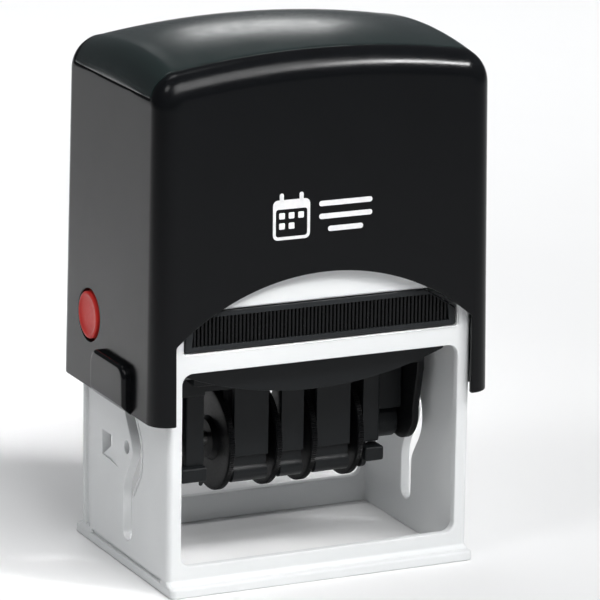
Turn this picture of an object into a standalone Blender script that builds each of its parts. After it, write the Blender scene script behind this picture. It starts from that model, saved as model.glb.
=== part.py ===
"""Self-inking rotary date stamp: a base frame, a press-down cover, and a hub that flips from ink pad to desk.

The frame stands on the desk. Pushing the cover down carries a yoke, and the hub hung in it, towards the
desk. On the way the hub turns half a turn about its pivot axis, so that the text plate and the date bands,
which face up at the ink pad at rest, face down. Four thumb wheels in the hub set the date bands. The origin
is on the desk at the centre of the frame, +Z is up and the front of the stamp faces -Y. Sizes below are in
millimetres.
"""

import math

import bmesh
import bpy
from mathutils import Matrix, Vector

MM = 0.001
GAP = 0.3

# Base frame
FRAME_X, FRAME_Y = 37.2, 24.9
FRAME_TOP = 84.0
FLANGE_X, FLANGE_Y, FLANGE_TOP = 37.6, 28.0, 3.1
FRAME_CORNER, FLANGE_CORNER = 1.4, 1.6
FOOT_BAND, FOOT_RECESS, FOOT_RECESS_LOW_Y, FOOT_RECESS_HIGH_Y = 2.0, 0.5, -21.3, 18.5
WALL_INNER_X, WALL_INNER_Y = 34.9, 22.9
WINDOW_X, WINDOW_LOW, WINDOW_HIGH, WINDOW_CORNER = 33.9, 6.3, 50.6, 2.5
PAD_FLOOR, PAD_ROOF, DECK_TOP, BAY_X = 55.0, 64.6, 66.4, 33.6
GROOVE_LOW_Y, GROOVE_HIGH_Y, GROOVE_DEPTH = 19.7, 22.7, 0.9
SLOT_Y = {-1: -2.0, 1: 1.9}
SLOT_WIDTH, SLOT_FOOT_Z, SLOT_TOP_Z = 5.0, 8.9, 46.5
SLOT_BULGE, SLOT_BULGE_Z, SLOT_BULGE_HALF = 5.2, 28.0, 12.0
LOCK_REAR_Y, LOCK_FRONT_Y, LOCK_TOP, LOCK_REAR_LOW, LOCK_FRONT_LOW = 12.4, 7.6, 28.5, 22.8, 26.0
SIGHT_Y, SIGHT_Z, SIGHT_RADIUS = -1.4, 28.1, 1.5
POST_RADIUS, POST_TOP = 2.3, 80.0

# Ink pad
TRAY_X, TRAY_FRONT_Y, TRAY_REAR_Y, TRAY_FRONT_DEPTH, TRAY_STEP = 33.2, -24.6, 22.4, 3.2, 0.8
FELT_X, FELT_Y, FELT_FACE, FELT_TOP = 31.0, 20.6, 55.9, 59.3
GRIP_X, GRIP_DEPTH, RAIL_X, RIM_LOW, RIM_HIGH = 31.6, 0.5, 29.0, 1.1, 5.0
TRAY_EDGE, FELT_EDGE, PAD_CLEARANCE = 0.4, 0.5, 0.8

# Cover
COVER_X, COVER_Y, COVER_BOTTOM, COVER_EDGE_TOP = 41.7, 27.4, 39.5, 119.6
DRAFT = 0.0125
CROWN_RADIUS = 230.0
CROWN_RISE, CROWN_FOOT, CROWN_ROWS = 3.65, 106.0, (-18.0, -12.0, -6.0, 0.0, 6.0, 12.0, 18.0)
SIDE_ROLL, FACE_ROLL, LEAST_ROLL = 7.0, 4.8, 1.5
COVER_WALL, FACE_WALL = 1.8, 1.35
CAP_Y, CAP_BOTTOM, CAP_WALL = 21.1, 112.3, 1.6
CUTOUT_X, CUTOUT_SPRING_Z, CUTOUT_TOP = 36.3, 57.5, 71.3
BUTTON_Y, BUTTON_Z, BUTTON_RADIUS, BUTTON_PROUD, BUTTON_RING = 10.4, 56.4, 5.4, 0.4, 0.6
BUTTON_COLLAR_RADIUS, BUTTON_COLLAR, BUTTON_SEAT = 7.0, 0.7, 0.35
BUMP_LOW_Y, BUMP_HIGH_Y, BUMP_TOP, BUMP_PROUD, BUMP_CORNER, BUMP_FOOT = -14.7, 5.0, 50.5, 1.9, 3.0, 41.2
ROOF_CORNER, CAP_ROOM_CORNER = 2.5, 0.5
RIB_LOW, RIB_DROP = 42.0, 6.0
SEAT_RADIUS, SEAT_LOW, SEAT_HIGH, SEAT_COLLAR, SEAT_COLLAR_LOW = 2.3, 112.5, 118.8, 4.3, 116.1

# Motion
HUB_AXIS_Z = 38.5

# Yoke
LEG_INNER_X, LEG_OUTER_X = 32.9, 34.5
LEG_FRONT_Y, LEG_BACK_Y, LEG_ROOM = 2.6, 12.0, 0.5
YOKE_X, YOKE_LOW, YOKE_HIGH = 36.2, 111.4, 113.6
LEG_WEB_Y, LEG_WEB_DROP, LEG_WEB_RISE, LEG_WEB_DEPTH = 2.8, 20.0, 6.0, 0.5
PIVOT_BOSS, PIVOT_RADIUS, PIN_START_X, PIN_END_X, PIN_TIP = 3.2, 1.6, 29.3, 34.6, 0.3
RUNNING_GAP = 0.1

# Return springs
SPRING_X, SPRING_Y = 24.0, -6.0
SPRING_RADIUS, SPRING_WIRE, SPRING_TURNS = 3.6, 0.45, 8
SPRING_LOW, SPRING_HIGH = 67.2, 115.3

# Hub
SHAFT_Z, SHAFT_RADIUS, SHAFT_COLLAR = 27.6, 1.5, 4.4
PLATE_X, PLATE_Y, PLATE_LOW, DIE_FACE = 31.0, 20.0, 49.5, 51.5
CUSHION_LOW, CUSHION_HIGH = 48.0, 49.2
DECK_X, DECK_Y, CARRIER_TOP, CARRIER_THICK, CARRIER_EDGE = 28.5, 19.0, 47.7, 2.0, 0.6
HOUSING_LEFT, HOUSING_RIGHT, HOUSING_Y = -28.0, 22.0, 10.0
HOUSING_LOW, HOUSING_HIGH, HOUSING_WALL = 24.2, 45.3, 1.4
ROOM_LIP_Y, WHEEL_SLOT_TOP = 7.4, 41.6
EAR_Y, EAR_LOW = 6.0, 31.4
LIP_RADIUS, LIP_Y, LIP_Z, LIP_INSET_LEFT, LIP_INSET_RIGHT = 2.4, 7.4, 21.3, 6.0, 3.0
WEB_INNER_Y, WEB_OUTER_Y, WEB_LOW = 5.9, 9.4, 21.5
FOOT_INNER_Y, FOOT_OUTER_Y, FOOT_LOW, FOOT_HIGH = 6.4, 11.4, 20.9, 24.4
FOOT_LEFT_X, FOOT_RIGHT_X = -21.4, 17.9
SIDE_INNER_X, SIDE_OUTER_X = 29.8, 31.6
SIDE_TOP, SIDE_SHOULDER, SIDE_Y = 45.4, 42.0, 13.0
LUG_Y, LUG_Z, LUG_RADIUS = -3.6, 31.0, 7.4
CAM_OFFSET, CAM_RADIUS, CAM_REACH_X = 5.2, 1.5, 34.4
SKIRT_X, SKIRT_Y, SKIRT_RIM, SKIRT_HIGH, SKIRT_LOW, SKIRT_ARC = 32.2, 21.0, 0.7, 49.45, 42.9, 87.5
BAND_WINDOW_INNER, BAND_WINDOW_OUTER = 5.6, 15.2
BAND_WINDOW_Y = {"plate": 2.9, "cushion": 3.8, "carrier": 4.0, "housing": 4.4}

# Date wheels and bands
WHEEL_X = (-16.1, -4.4, 4.4, 16.1)
WHEEL_RADIUS, WHEEL_WIDTH, WHEEL_SLOT, FIRST_SLOT_X = 12.0, 2.4, 3.3, -21.8
PULLEY_RADIUS, PULLEY_WIDTH = 6.0, 4.0
BAND_X = (-12.6, -7.9, 7.9, 12.6)
BAND_WIDTH, BAND_WALL = 4.0, 0.9
SHAFT_X = 32.2
ANVIL_X, ANVIL_SPAN, ANVIL_STEP, ANVIL_HALF = 17.9, 14.9, 5.9, 0.8
ANVIL_LOW, ANVIL_LEDGE, ANVIL_TOP = 48.0, 49.1, 49.9
BAND_FOOT_RADIUS, BAND_HEAD_RADIUS, BAND_HEAD_Z = 6.3, 1.6, 48.9

PALETTE = {
    "white_plastic": ((0.83, 0.83, 0.82), 0.38, 0.0),
    "black_plastic": ((0.012, 0.013, 0.014), 0.22, 0.0),
    "dark_plastic": ((0.02, 0.021, 0.023), 0.45, 0.0),
    "smoked_plastic": ((0.03, 0.045, 0.04), 0.08, 0.0),
    "red_plastic": ((0.62, 0.05, 0.035), 0.35, 0.0),
    "ink_felt": ((0.02, 0.018, 0.03), 0.9, 0.0),
    "stamp_rubber": ((0.35, 0.16, 0.1), 0.7, 0.0),
    "band_rubber": ((0.05, 0.05, 0.05), 0.75, 0.0),
    "foam": ((0.3, 0.3, 0.3), 0.95, 0.0),
    "steel": ((0.6, 0.6, 0.6), 0.3, 1.0),
}


def clear_scene():
    for thing in list(bpy.data.objects):
        bpy.data.objects.remove(thing)


def named_collection(name):
    collection = bpy.data.collections.new(name)
    bpy.context.scene.collection.children.link(collection)
    return collection


def plastic(name):
    if name in bpy.data.materials:
        return bpy.data.materials[name]
    colour, roughness, metallic = PALETTE[name]
    material = bpy.data.materials.new(name)
    material.use_nodes = True
    shader = material.node_tree.nodes["Principled BSDF"]
    shader.inputs["Base Color"].default_value = (*colour, 1.0)
    shader.inputs["Roughness"].default_value = roughness
    shader.inputs["Metallic"].default_value = metallic
    return material


def object_from(bm, name="tool"):
    """A new object holding a bmesh whose coordinates are in millimetres."""
    bmesh.ops.scale(bm, vec=(MM, MM, MM), verts=bm.verts)
    mesh = bpy.data.meshes.new(name)
    bm.to_mesh(mesh)
    bm.free()
    thing = bpy.data.objects.new(name, mesh)
    bpy.context.scene.collection.objects.link(thing)
    return thing


def finish(thing, name, material, smooth=True):
    """Name a finished piece, give it its material and move it to the stamp's collection."""
    thing.name = name
    thing.data.name = name
    thing.data.materials.clear()
    thing.data.materials.append(plastic(material))
    if smooth:
        thing.data.shade_smooth()
        thing.data.set_sharp_from_angle(angle=math.radians(35))
    bpy.context.scene.collection.objects.unlink(thing)
    STAMP.objects.link(thing)
    return thing


def block(low, high, edge=0.0, edge_axis=None, segments=2):
    """A box between two corners. Edges along edge_axis, or all edges if it is None, are rounded by edge."""
    bm = bmesh.new()
    bmesh.ops.create_cube(bm, size=1.0)
    size = Vector(high) - Vector(low)
    middle = (Vector(high) + Vector(low)) / 2
    bmesh.ops.transform(bm, matrix=Matrix.Translation(middle) @ Matrix.Diagonal((*size, 1.0)), verts=bm.verts)
    if edge:
        edges = [e for e in bm.edges if edge_axis is None or runs_along(e, edge_axis)]
        bmesh.ops.bevel(bm, geom=edges, offset=edge, segments=segments, profile=0.5, affect="EDGES")
    return object_from(bm)


def runs_along(edge, axis):
    along = edge.verts[1].co - edge.verts[0].co
    return abs(along[axis]) > 0.99 * along.length


def rod(axis, radius, start, end, across, segments=24, tip=0.0):
    """A cylinder along X, Y or Z from start to end. across gives its other two coordinates, in order."""
    bm = bmesh.new()
    bmesh.ops.create_cone(
        bm, cap_ends=True, segments=segments, radius1=radius, radius2=radius, depth=end - start
    )
    if tip:
        rims = [e for e in bm.edges if abs(e.verts[0].co.z - e.verts[1].co.z) < 1e-6]
        bmesh.ops.bevel(bm, geom=rims, offset=tip, segments=1, affect="EDGES")
    quarter = math.pi / 2
    turn = {0: Matrix.Rotation(quarter, 4, "Y"), 1: Matrix.Rotation(quarter, 4, "X"), 2: Matrix()}[axis]
    middle = list(across)
    middle.insert(axis, (start + end) / 2)
    bmesh.ops.transform(bm, matrix=Matrix.Translation(middle) @ turn, verts=bm.verts)
    return object_from(bm)


def arc(centre, radius, start, end, steps):
    """Points on an arc, angles in degrees from the outline's first axis."""
    angles = [math.radians(start + (end - start) * i / steps) for i in range(steps + 1)]
    return [(centre[0] + radius * math.cos(a), centre[1] + radius * math.sin(a)) for a in angles]


def extruded(loops, across, start, end):
    """Closed outlines, given in the two other axes, filled and extruded along the axis across."""
    curve = bpy.data.curves.new("outline", "CURVE")
    curve.dimensions = "2D"
    curve.fill_mode = "BOTH"
    curve.extrude = (end - start) / 2
    for loop in loops:
        spline = curve.splines.new("POLY")
        spline.points.add(len(loop) - 1)
        for point, (u, v) in zip(spline.points, loop):
            point.co = (u, v, 0.0, 1.0)
        spline.use_cyclic_u = True
    outline = bpy.data.objects.new("outline", curve)
    bpy.context.scene.collection.objects.link(outline)
    bm = mesh_of_curve(outline)
    frame = {
        0: Matrix(((0, 0, 1), (1, 0, 0), (0, 1, 0))),
        1: Matrix(((1, 0, 0), (0, 0, -1), (0, 1, 0))),
        2: Matrix.Identity(3),
    }[across]
    shift = Vector((0, 0, 0))
    shift[across] = (start + end) / 2
    bmesh.ops.transform(bm, matrix=Matrix.Translation(shift) @ frame.to_4x4(), verts=bm.verts)
    bmesh.ops.recalc_face_normals(bm, faces=bm.faces)
    return object_from(bm)


def mesh_of_curve(outline):
    """The welded mesh of a curve object, which is then removed."""
    bpy.context.view_layer.update()
    depsgraph = bpy.context.evaluated_depsgraph_get()
    mesh = bpy.data.meshes.new_from_object(outline.evaluated_get(depsgraph))
    bm = bmesh.new()
    bm.from_mesh(mesh)
    bmesh.ops.remove_doubles(bm, verts=bm.verts, dist=1e-5)
    bpy.data.objects.remove(outline)
    bpy.data.meshes.remove(mesh)
    return bm


def combine(target, operation, *tools):
    """Boolean the tools into the target one after another, and remove them."""
    for tool in tools:
        step = target.modifiers.new(operation.lower(), "BOOLEAN")
        step.operation = operation
        step.object = tool
    bpy.context.view_layer.update()
    depsgraph = bpy.context.evaluated_depsgraph_get()
    mesh = bpy.data.meshes.new_from_object(target.evaluated_get(depsgraph))
    target.modifiers.clear()
    target.data = mesh
    for tool in tools:
        bpy.data.objects.remove(tool)
    return target


def join(target, *tools):
    return combine(target, "UNION", *tools)


def cut(target, *tools):
    return combine(target, "DIFFERENCE", *tools)


def keep_inside(target, *tools):
    return combine(target, "INTERSECT", *tools)


# ---------------------------------------------------------------- base frame


def slot_centre(side, z):
    """The Y of a cam slot's centre line at a height: straight at its foot, bulged where the hub turns."""
    reach = min(abs(z - SLOT_BULGE_Z) / SLOT_BULGE_HALF, 1.0)
    return SLOT_Y[side] - SLOT_BULGE * 0.5 * (1.0 + math.cos(math.pi * reach))


def cam_slot_outline(side):
    """The S-shaped slot that guides a cam pin in one wall, as an outline in Y and Z."""
    half = SLOT_WIDTH / 2
    steps = 18
    heights = [SLOT_FOOT_Z + (SLOT_TOP_Z - SLOT_FOOT_Z) * i / steps for i in range(steps + 1)]
    rising, falling = [], []
    for z in heights:
        slope = (slot_centre(side, z + 0.01) - slot_centre(side, z - 0.01)) / 0.02
        reach = half * math.sqrt(1.0 + slope * slope)
        rising.append((slot_centre(side, z) + reach, z))
        falling.append((slot_centre(side, z) - reach, z))
    foot = arc((slot_centre(side, SLOT_FOOT_Z), SLOT_FOOT_Z), half, 180, 360, 8)[1:-1]
    head = arc((slot_centre(side, SLOT_TOP_Z), SLOT_TOP_Z), half, 0, 180, 8)[1:-1]
    return rising + head + falling[::-1] + foot


def rounded_rectangle(low_u, low_v, high_u, high_v, radius, steps=4):
    """An outline with four equal round corners."""
    corners = [
        ((high_u - radius, high_v - radius), 0),
        ((low_u + radius, high_v - radius), 90),
        ((low_u + radius, low_v + radius), 180),
        ((high_u - radius, low_v + radius), 270),
    ]
    return [p for centre, start in corners for p in arc(centre, radius, start, start + 90, steps)]


def base_frame():
    frame = block((-FRAME_X, -FRAME_Y, 0), (FRAME_X, FRAME_Y, FRAME_TOP), FRAME_CORNER, 2, 3)
    join(frame, block((-FLANGE_X, -FLANGE_Y, 0), (FLANGE_X, FLANGE_Y, FLANGE_TOP), FLANGE_CORNER, 2, 3))
    far = FLANGE_Y + 5
    out, within = -FRAME_X - 1, -WALL_INNER_X + 1
    lock_hole = [
        (LOCK_FRONT_Y, LOCK_FRONT_LOW),
        (LOCK_REAR_Y, LOCK_REAR_LOW),
        (LOCK_REAR_Y, LOCK_TOP),
        (LOCK_FRONT_Y, LOCK_TOP),
    ]
    cut(
        frame,
        block((-WALL_INNER_X, -WALL_INNER_Y, -1), (WALL_INNER_X, WALL_INNER_Y, PAD_ROOF)),
        block((-WALL_INNER_X, -WALL_INNER_Y, DECK_TOP), (WALL_INNER_X, WALL_INNER_Y, FRAME_TOP + 1)),
        extruded(
            [rounded_rectangle(-WINDOW_X, WINDOW_LOW, WINDOW_X, WINDOW_HIGH, WINDOW_CORNER)], 1, -far, far
        ),
        block((-BAY_X, -far, PAD_FLOOR), (BAY_X, far, PAD_ROOF)),
        extruded([cam_slot_outline(-1)], 0, -FRAME_X - 5, -FRAME_X / 2),
        extruded([cam_slot_outline(1)], 0, FRAME_X / 2, FRAME_X + 5),
        *[
            block((low, LEG_FRONT_Y - LEG_ROOM, PAD_ROOF - 1), (high, LEG_BACK_Y + LEG_ROOM, DECK_TOP + 1))
            for low, high in ((-WALL_INNER_X, LEG_ROOM - LEG_INNER_X), (LEG_INNER_X - LEG_ROOM, WALL_INNER_X))
        ],
        *[
            block((low, GROOVE_LOW_Y, FLANGE_TOP), (high, GROOVE_HIGH_Y, FRAME_TOP + 1))
            for low, high in (
                (-FRAME_X - 1, GROOVE_DEPTH - FRAME_X),
                (FRAME_X - GROOVE_DEPTH, FRAME_X + 1),
            )
        ],
        *[
            block((low, FOOT_RECESS_LOW_Y, FOOT_BAND), (high, FOOT_RECESS_HIGH_Y, FLANGE_TOP + 0.1))
            for low, high in (
                (-FRAME_X - 1, FOOT_RECESS - FRAME_X),
                (FRAME_X - FOOT_RECESS, FRAME_X + 1),
            )
        ],
        extruded([lock_hole], 0, out, within),
        rod(0, SIGHT_RADIUS, out, within, (SIGHT_Y, SIGHT_Z), 16),
    )
    posts = [
        rod(2, POST_RADIUS, DECK_TOP - 0.5, POST_TOP, (side * SPRING_X, SPRING_Y), 16) for side in (-1, 1)
    ]
    join(frame, *posts)
    return finish(frame, "base_frame", "white_plastic")


# ---------------------------------------------------------------- ink pad


def ink_pad():
    """The felt in its drawer, with upper corners arched to pass under the cover's cut-out."""
    low, high = PAD_FLOOR + GAP, PAD_ROOF - GAP
    out, deep = TRAY_FRONT_Y - 1, TRAY_FRONT_Y + GRIP_DEPTH
    tray = block((-TRAY_X, TRAY_FRONT_Y, low), (TRAY_X, TRAY_FRONT_Y + TRAY_FRONT_DEPTH + 1, high), TRAY_EDGE)
    body_x = TRAY_X - TRAY_STEP
    join(tray, block((-body_x, TRAY_FRONT_Y + TRAY_FRONT_DEPTH, low), (body_x, TRAY_REAR_Y, high)))
    arch = cutout_arch(PAD_CLEARANCE)
    keep_inside(tray, extruded([[(CUTOUT_X, low - 5), *arch, (-CUTOUT_X, low - 5)]], 1, -60, 60))
    cut(
        tray,
        block((-FELT_X - GAP, -FELT_Y - GAP, low - 1), (FELT_X + GAP, FELT_Y + GAP, FELT_TOP + GAP)),
        block((-GRIP_X, out, low + RIM_LOW), (GRIP_X, deep, high - RIM_HIGH)),
        block((-RAIL_X, out, high - RIM_HIGH - 1.0), (RAIL_X, deep, high - RIM_LOW)),
    )
    finish(tray, "ink_pad_tray", "dark_plastic")
    felt = block((-FELT_X, -FELT_Y, FELT_FACE), (FELT_X, FELT_Y, FELT_TOP), FELT_EDGE)
    finish(felt, "ink_pad_felt", "ink_felt")


# ---------------------------------------------------------------- cover


def crowned_block(inset, roll, foot, face_inset=None):
    """The cover's outer form moved inwards: a drafted box with rolled edges and a top crowned both ways."""
    side = COVER_X - inset
    face = COVER_Y - (inset if face_inset is None else face_inset)
    top = COVER_EDGE_TOP - inset
    corner = max(SIDE_ROLL - inset, LEAST_ROLL)
    height = top - COVER_BOTTOM
    shoulder = side - DRAFT * height
    reach = shoulder - corner
    drop = CROWN_RADIUS - math.sqrt(CROWN_RADIUS**2 - reach**2)
    steps = 5
    right = [(side + DRAFT * (COVER_BOTTOM - foot), foot)]
    right += arc((reach, top - drop - corner), corner, 0, 80, steps)
    crown = [
        (x, top - CROWN_RADIUS + math.sqrt(CROWN_RADIUS**2 - x * x))
        for x in [reach * (1 - i / 6) * 0.96 for i in range(1, 12)]
    ]
    left = [(-x, z) for x, z in right[::-1]]
    form = extruded([right + crown + left], 1, -face, face)
    bm = bmesh.new()
    bm.from_mesh(form.data)
    bpy.data.objects.remove(form)
    edges = [e for e in bm.edges if all(abs(abs(v.co.y) - face * MM) < 1e-7 for v in e.verts)]
    edges = [e for e in edges if len({f.normal.y > 0.5 or f.normal.y < -0.5 for f in e.link_faces}) == 2]
    bmesh.ops.bevel(
        bm, geom=edges, offset=roll * MM, segments=4, profile=0.5, affect="EDGES", clamp_overlap=False
    )
    for row in CROWN_ROWS:
        bmesh.ops.bisect_plane(
            bm, geom=bm.verts[:] + bm.edges[:] + bm.faces[:], plane_co=(0, row * MM, 0), plane_no=(0, 1, 0)
        )
    for vertex in bm.verts:
        across = vertex.co.y / MM / COVER_Y
        share = min(max((vertex.co.z / MM - CROWN_FOOT) / (top - CROWN_FOOT), 0.0), 1.0)
        vertex.co.y *= 1.0 - DRAFT * (vertex.co.z / MM - COVER_BOTTOM) / COVER_Y
        vertex.co.z += CROWN_RISE * (1.0 - across * across) * share * MM
    mesh = bpy.data.meshes.new("form")
    bm.to_mesh(mesh)
    bm.free()
    thing = bpy.data.objects.new("form", mesh)
    bpy.context.scene.collection.objects.link(thing)
    return thing


def below(z):
    return block((-60, -60, -50), (60, 60, z))


def cutout_arch(clearance):
    """The arch over the cover's cut-out, lowered by a clearance, as points in X and Z."""
    rise = CUTOUT_TOP - CUTOUT_SPRING_Z
    radius = (CUTOUT_X**2 + rise**2) / (2 * rise)
    half = math.degrees(math.asin(CUTOUT_X / radius))
    return arc((0, CUTOUT_TOP - clearance - radius), radius, 90 - half, 90 + half, 16)


def cutout_outline():
    """The opening under the arch, as an outline in X and Z."""
    return [(CUTOUT_X, COVER_BOTTOM - 5), *cutout_arch(0.0), (-CUTOUT_X, COVER_BOTTOM - 5)]


def cover_shell():
    shell = crowned_block(0.0, FACE_ROLL, COVER_BOTTOM - 20)
    saddle = block((-60, -CAP_Y - 0.2, CAP_BOTTOM - GAP), (60, CAP_Y + 0.2, 200))
    cut(saddle, crowned_block(CAP_WALL + GAP, CAP_ROOM_CORNER, COVER_BOTTOM - 20))
    wide_room = crowned_block(COVER_WALL, ROOF_CORNER, COVER_BOTTOM - 25, FACE_WALL)
    keep_inside(wide_room, below(CAP_BOTTOM - COVER_WALL))
    roof_inset = CAP_WALL + GAP + COVER_WALL
    deep_room = crowned_block(roof_inset, LEAST_ROLL, COVER_BOTTOM - 25, FACE_WALL + ROOF_CORNER)
    cut(shell, below(COVER_BOTTOM), saddle, wide_room, deep_room)
    bumps = [side_bump(side) for side in (-1, 1)]
    ribs = [
        block((low, GROOVE_LOW_Y + GAP, RIB_LOW), (high, GROOVE_HIGH_Y - GAP, CAP_BOTTOM - RIB_DROP))
        for low, high in (
            (-COVER_X + 1.5, -FRAME_X + GROOVE_DEPTH - GAP),
            (FRAME_X - GROOVE_DEPTH + GAP, COVER_X - 1.5),
        )
    ]
    seats = [
        rod(2, radius, low, SEAT_HIGH, (side * SPRING_X, SPRING_Y), 16)
        for side in (-1, 1)
        for radius, low in ((SEAT_RADIUS, SEAT_LOW), (SEAT_COLLAR, SEAT_COLLAR_LOW))
    ]
    join(shell, *bumps, *ribs, *seats)
    cut(
        shell,
        extruded([cutout_outline()], 1, -60, 60),
        rod(0, BUTTON_RADIUS + BUTTON_RING, -60, -COVER_X + 4, (BUTTON_Y, BUTTON_Z), 28),
    )
    return finish(shell, "cover_shell", "black_plastic")


def side_bump(side):
    """The raised finger block at the foot of one side of the cover."""
    r = BUMP_CORNER
    outline = [(BUMP_HIGH_Y, COVER_BOTTOM), (BUMP_HIGH_Y, BUMP_TOP - r)]
    outline += arc((BUMP_HIGH_Y - r, BUMP_TOP - r), r, 0, 90, 4)[1:]
    outline += arc((BUMP_LOW_Y + r, BUMP_TOP - r), r, 90, 180, 4)
    outline += [(BUMP_LOW_Y, COVER_BOTTOM)]
    within, proud = COVER_X - 1.2, COVER_X + BUMP_PROUD
    profile = [(within, COVER_BOTTOM), (COVER_X, COVER_BOTTOM), (proud, BUMP_FOOT)]
    profile += [(proud, BUMP_TOP + 1), (within, BUMP_TOP + 1)]
    inner, outer = sorted((side * within, side * (proud + 1)))
    bump = extruded([outline], 0, inner, outer)
    return keep_inside(bump, extruded([[(side * x, z) for x, z in profile]], 1, -30, 30))


def index_cap():
    cap = crowned_block(0.0, FACE_ROLL, COVER_BOTTOM - 20)
    keep_inside(cap, block((-60, -CAP_Y, CAP_BOTTOM), (60, CAP_Y, 200)))
    cut(cap, crowned_block(CAP_WALL, CAP_ROOM_CORNER, COVER_BOTTOM - 20))
    return finish(cap, "index_cap", "smoked_plastic")


def lock_button():
    face = -COVER_X + DRAFT * (BUTTON_Z - COVER_BOTTOM) - BUTTON_PROUD
    inner = -COVER_X + COVER_WALL + BUTTON_SEAT
    button = rod(0, BUTTON_RADIUS, face, inner + 0.5, (BUTTON_Y, BUTTON_Z), 28, 0.5)
    collar = rod(0, BUTTON_COLLAR_RADIUS, inner, inner + BUTTON_COLLAR, (BUTTON_Y, BUTTON_Z), 28)
    join(button, collar)
    return finish(button, "lock_button", "red_plastic")


# ---------------------------------------------------------------- yoke and springs


def drive_yoke():
    """The bridge under the cover's roof, whose two legs carry the hub's pivots."""
    yoke = block((-YOKE_X, LEG_FRONT_Y, YOKE_LOW), (YOKE_X, LEG_BACK_Y, YOKE_HIGH), 0.5)
    for side in (-1, 1):
        low, high = sorted((side * LEG_INNER_X, side * LEG_OUTER_X))
        join(
            yoke,
            block((low, LEG_FRONT_Y, HUB_AXIS_Z - 1), (high, LEG_BACK_Y, YOKE_LOW + 1)),
            rod(0, PIVOT_BOSS, low, high, (0.0, HUB_AXIS_Z), 24),
        )
    cut(yoke, rod(0, PIVOT_RADIUS + RUNNING_GAP, -60, 60, (0.0, HUB_AXIS_Z), 24))
    cut(
        yoke,
        *[
            block(
                (low, LEG_FRONT_Y + LEG_WEB_Y, HUB_AXIS_Z - LEG_WEB_DROP),
                (high, LEG_BACK_Y + 1, HUB_AXIS_Z + LEG_WEB_RISE),
            )
            for low, high in ((-60, LEG_WEB_DEPTH - LEG_INNER_X), (LEG_INNER_X - LEG_WEB_DEPTH, 60))
        ],
    )
    return finish(yoke, "drive_yoke", "dark_plastic")


def pivot_pins():
    for side, name in ((-1, "pivot_pin_left"), (1, "pivot_pin_right")):
        low, high = sorted((side * PIN_START_X, side * PIN_END_X))
        pin = rod(0, PIVOT_RADIUS, low, high, (0.0, HUB_AXIS_Z), 24, PIN_TIP)
        finish(pin, name, "steel")


def return_springs():
    points_a_turn = 10
    count = SPRING_TURNS * points_a_turn
    for side, name in ((-1, "return_spring_left"), (1, "return_spring_right")):
        curve = bpy.data.curves.new(name, "CURVE")
        curve.dimensions = "3D"
        curve.bevel_depth = SPRING_WIRE
        curve.bevel_resolution = 2
        curve.use_fill_caps = True
        spline = curve.splines.new("POLY")
        spline.points.add(count)
        for i, point in enumerate(spline.points):
            angle = 2 * math.pi * i / points_a_turn
            share = i / count
            point.co = (
                side * SPRING_X + SPRING_RADIUS * math.cos(angle),
                SPRING_Y + SPRING_RADIUS * math.sin(angle),
                SPRING_LOW + (SPRING_HIGH - SPRING_LOW) * share,
                1.0,
            )
        coil = bpy.data.objects.new(name, curve)
        bpy.context.scene.collection.objects.link(coil)
        finish(object_from(mesh_of_curve(coil)), name, "steel")


# ---------------------------------------------------------------- hub


def band_windows(piece, low, high):
    """The two openings in a piece that the date bands pass through, a pair of bands in each."""
    half = BAND_WINDOW_Y[piece]
    return [
        block((start, -half, low), (end, half, high))
        for start, end in (
            (-BAND_WINDOW_OUTER, -BAND_WINDOW_INNER),
            (BAND_WINDOW_INNER, BAND_WINDOW_OUTER),
        )
    ]


def plate_carrier():
    """The deck that holds the text plate, between two half-moon skirts that rise round the plate's edges."""
    low = CARRIER_TOP - CARRIER_THICK
    carrier = block((-DECK_X, -DECK_Y, low), (DECK_X, DECK_Y, CARRIER_TOP), CARRIER_EDGE, 2)
    half = math.degrees(math.asin(SKIRT_X / SKIRT_ARC))
    moon = arc((0, SKIRT_LOW + SKIRT_ARC), SKIRT_ARC, 270 - half, 270 + half, 18)
    moon += [(SKIRT_X, SKIRT_HIGH), (-SKIRT_X, SKIRT_HIGH)]
    skirts = [
        extruded([moon], 1, start, end)
        for start, end in ((-SKIRT_Y, 1 - DECK_Y), (DECK_Y - 1, SKIRT_Y))
    ]
    join(carrier, *skirts)
    rim_y = SKIRT_Y - SKIRT_RIM
    cut(carrier, block((-SKIRT_X - 1, -rim_y, CARRIER_TOP), (SKIRT_X + 1, rim_y, SKIRT_HIGH + 1)))
    cut(carrier, *band_windows("carrier", low - 5, CARRIER_TOP + 1))
    return finish(carrier, "plate_carrier", "dark_plastic")


def text_plate_and_cushion():
    cushion = block((-PLATE_X, -PLATE_Y, CUSHION_LOW), (PLATE_X, PLATE_Y, CUSHION_HIGH))
    window, half = ANVIL_X + 0.5, BAND_WINDOW_Y["cushion"]
    cut(cushion, block((-window, -half, CUSHION_LOW - 1), (window, half, CUSHION_HIGH + 1)))
    finish(cushion, "plate_cushion", "foam", smooth=False)
    plate = block((-PLATE_X, -PLATE_Y, PLATE_LOW), (PLATE_X, PLATE_Y, DIE_FACE), 0.5, 2)
    cut(plate, *band_windows("plate", PLATE_LOW - 1, DIE_FACE + 1))
    finish(plate, "text_plate", "stamp_rubber", smooth=False)


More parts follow.
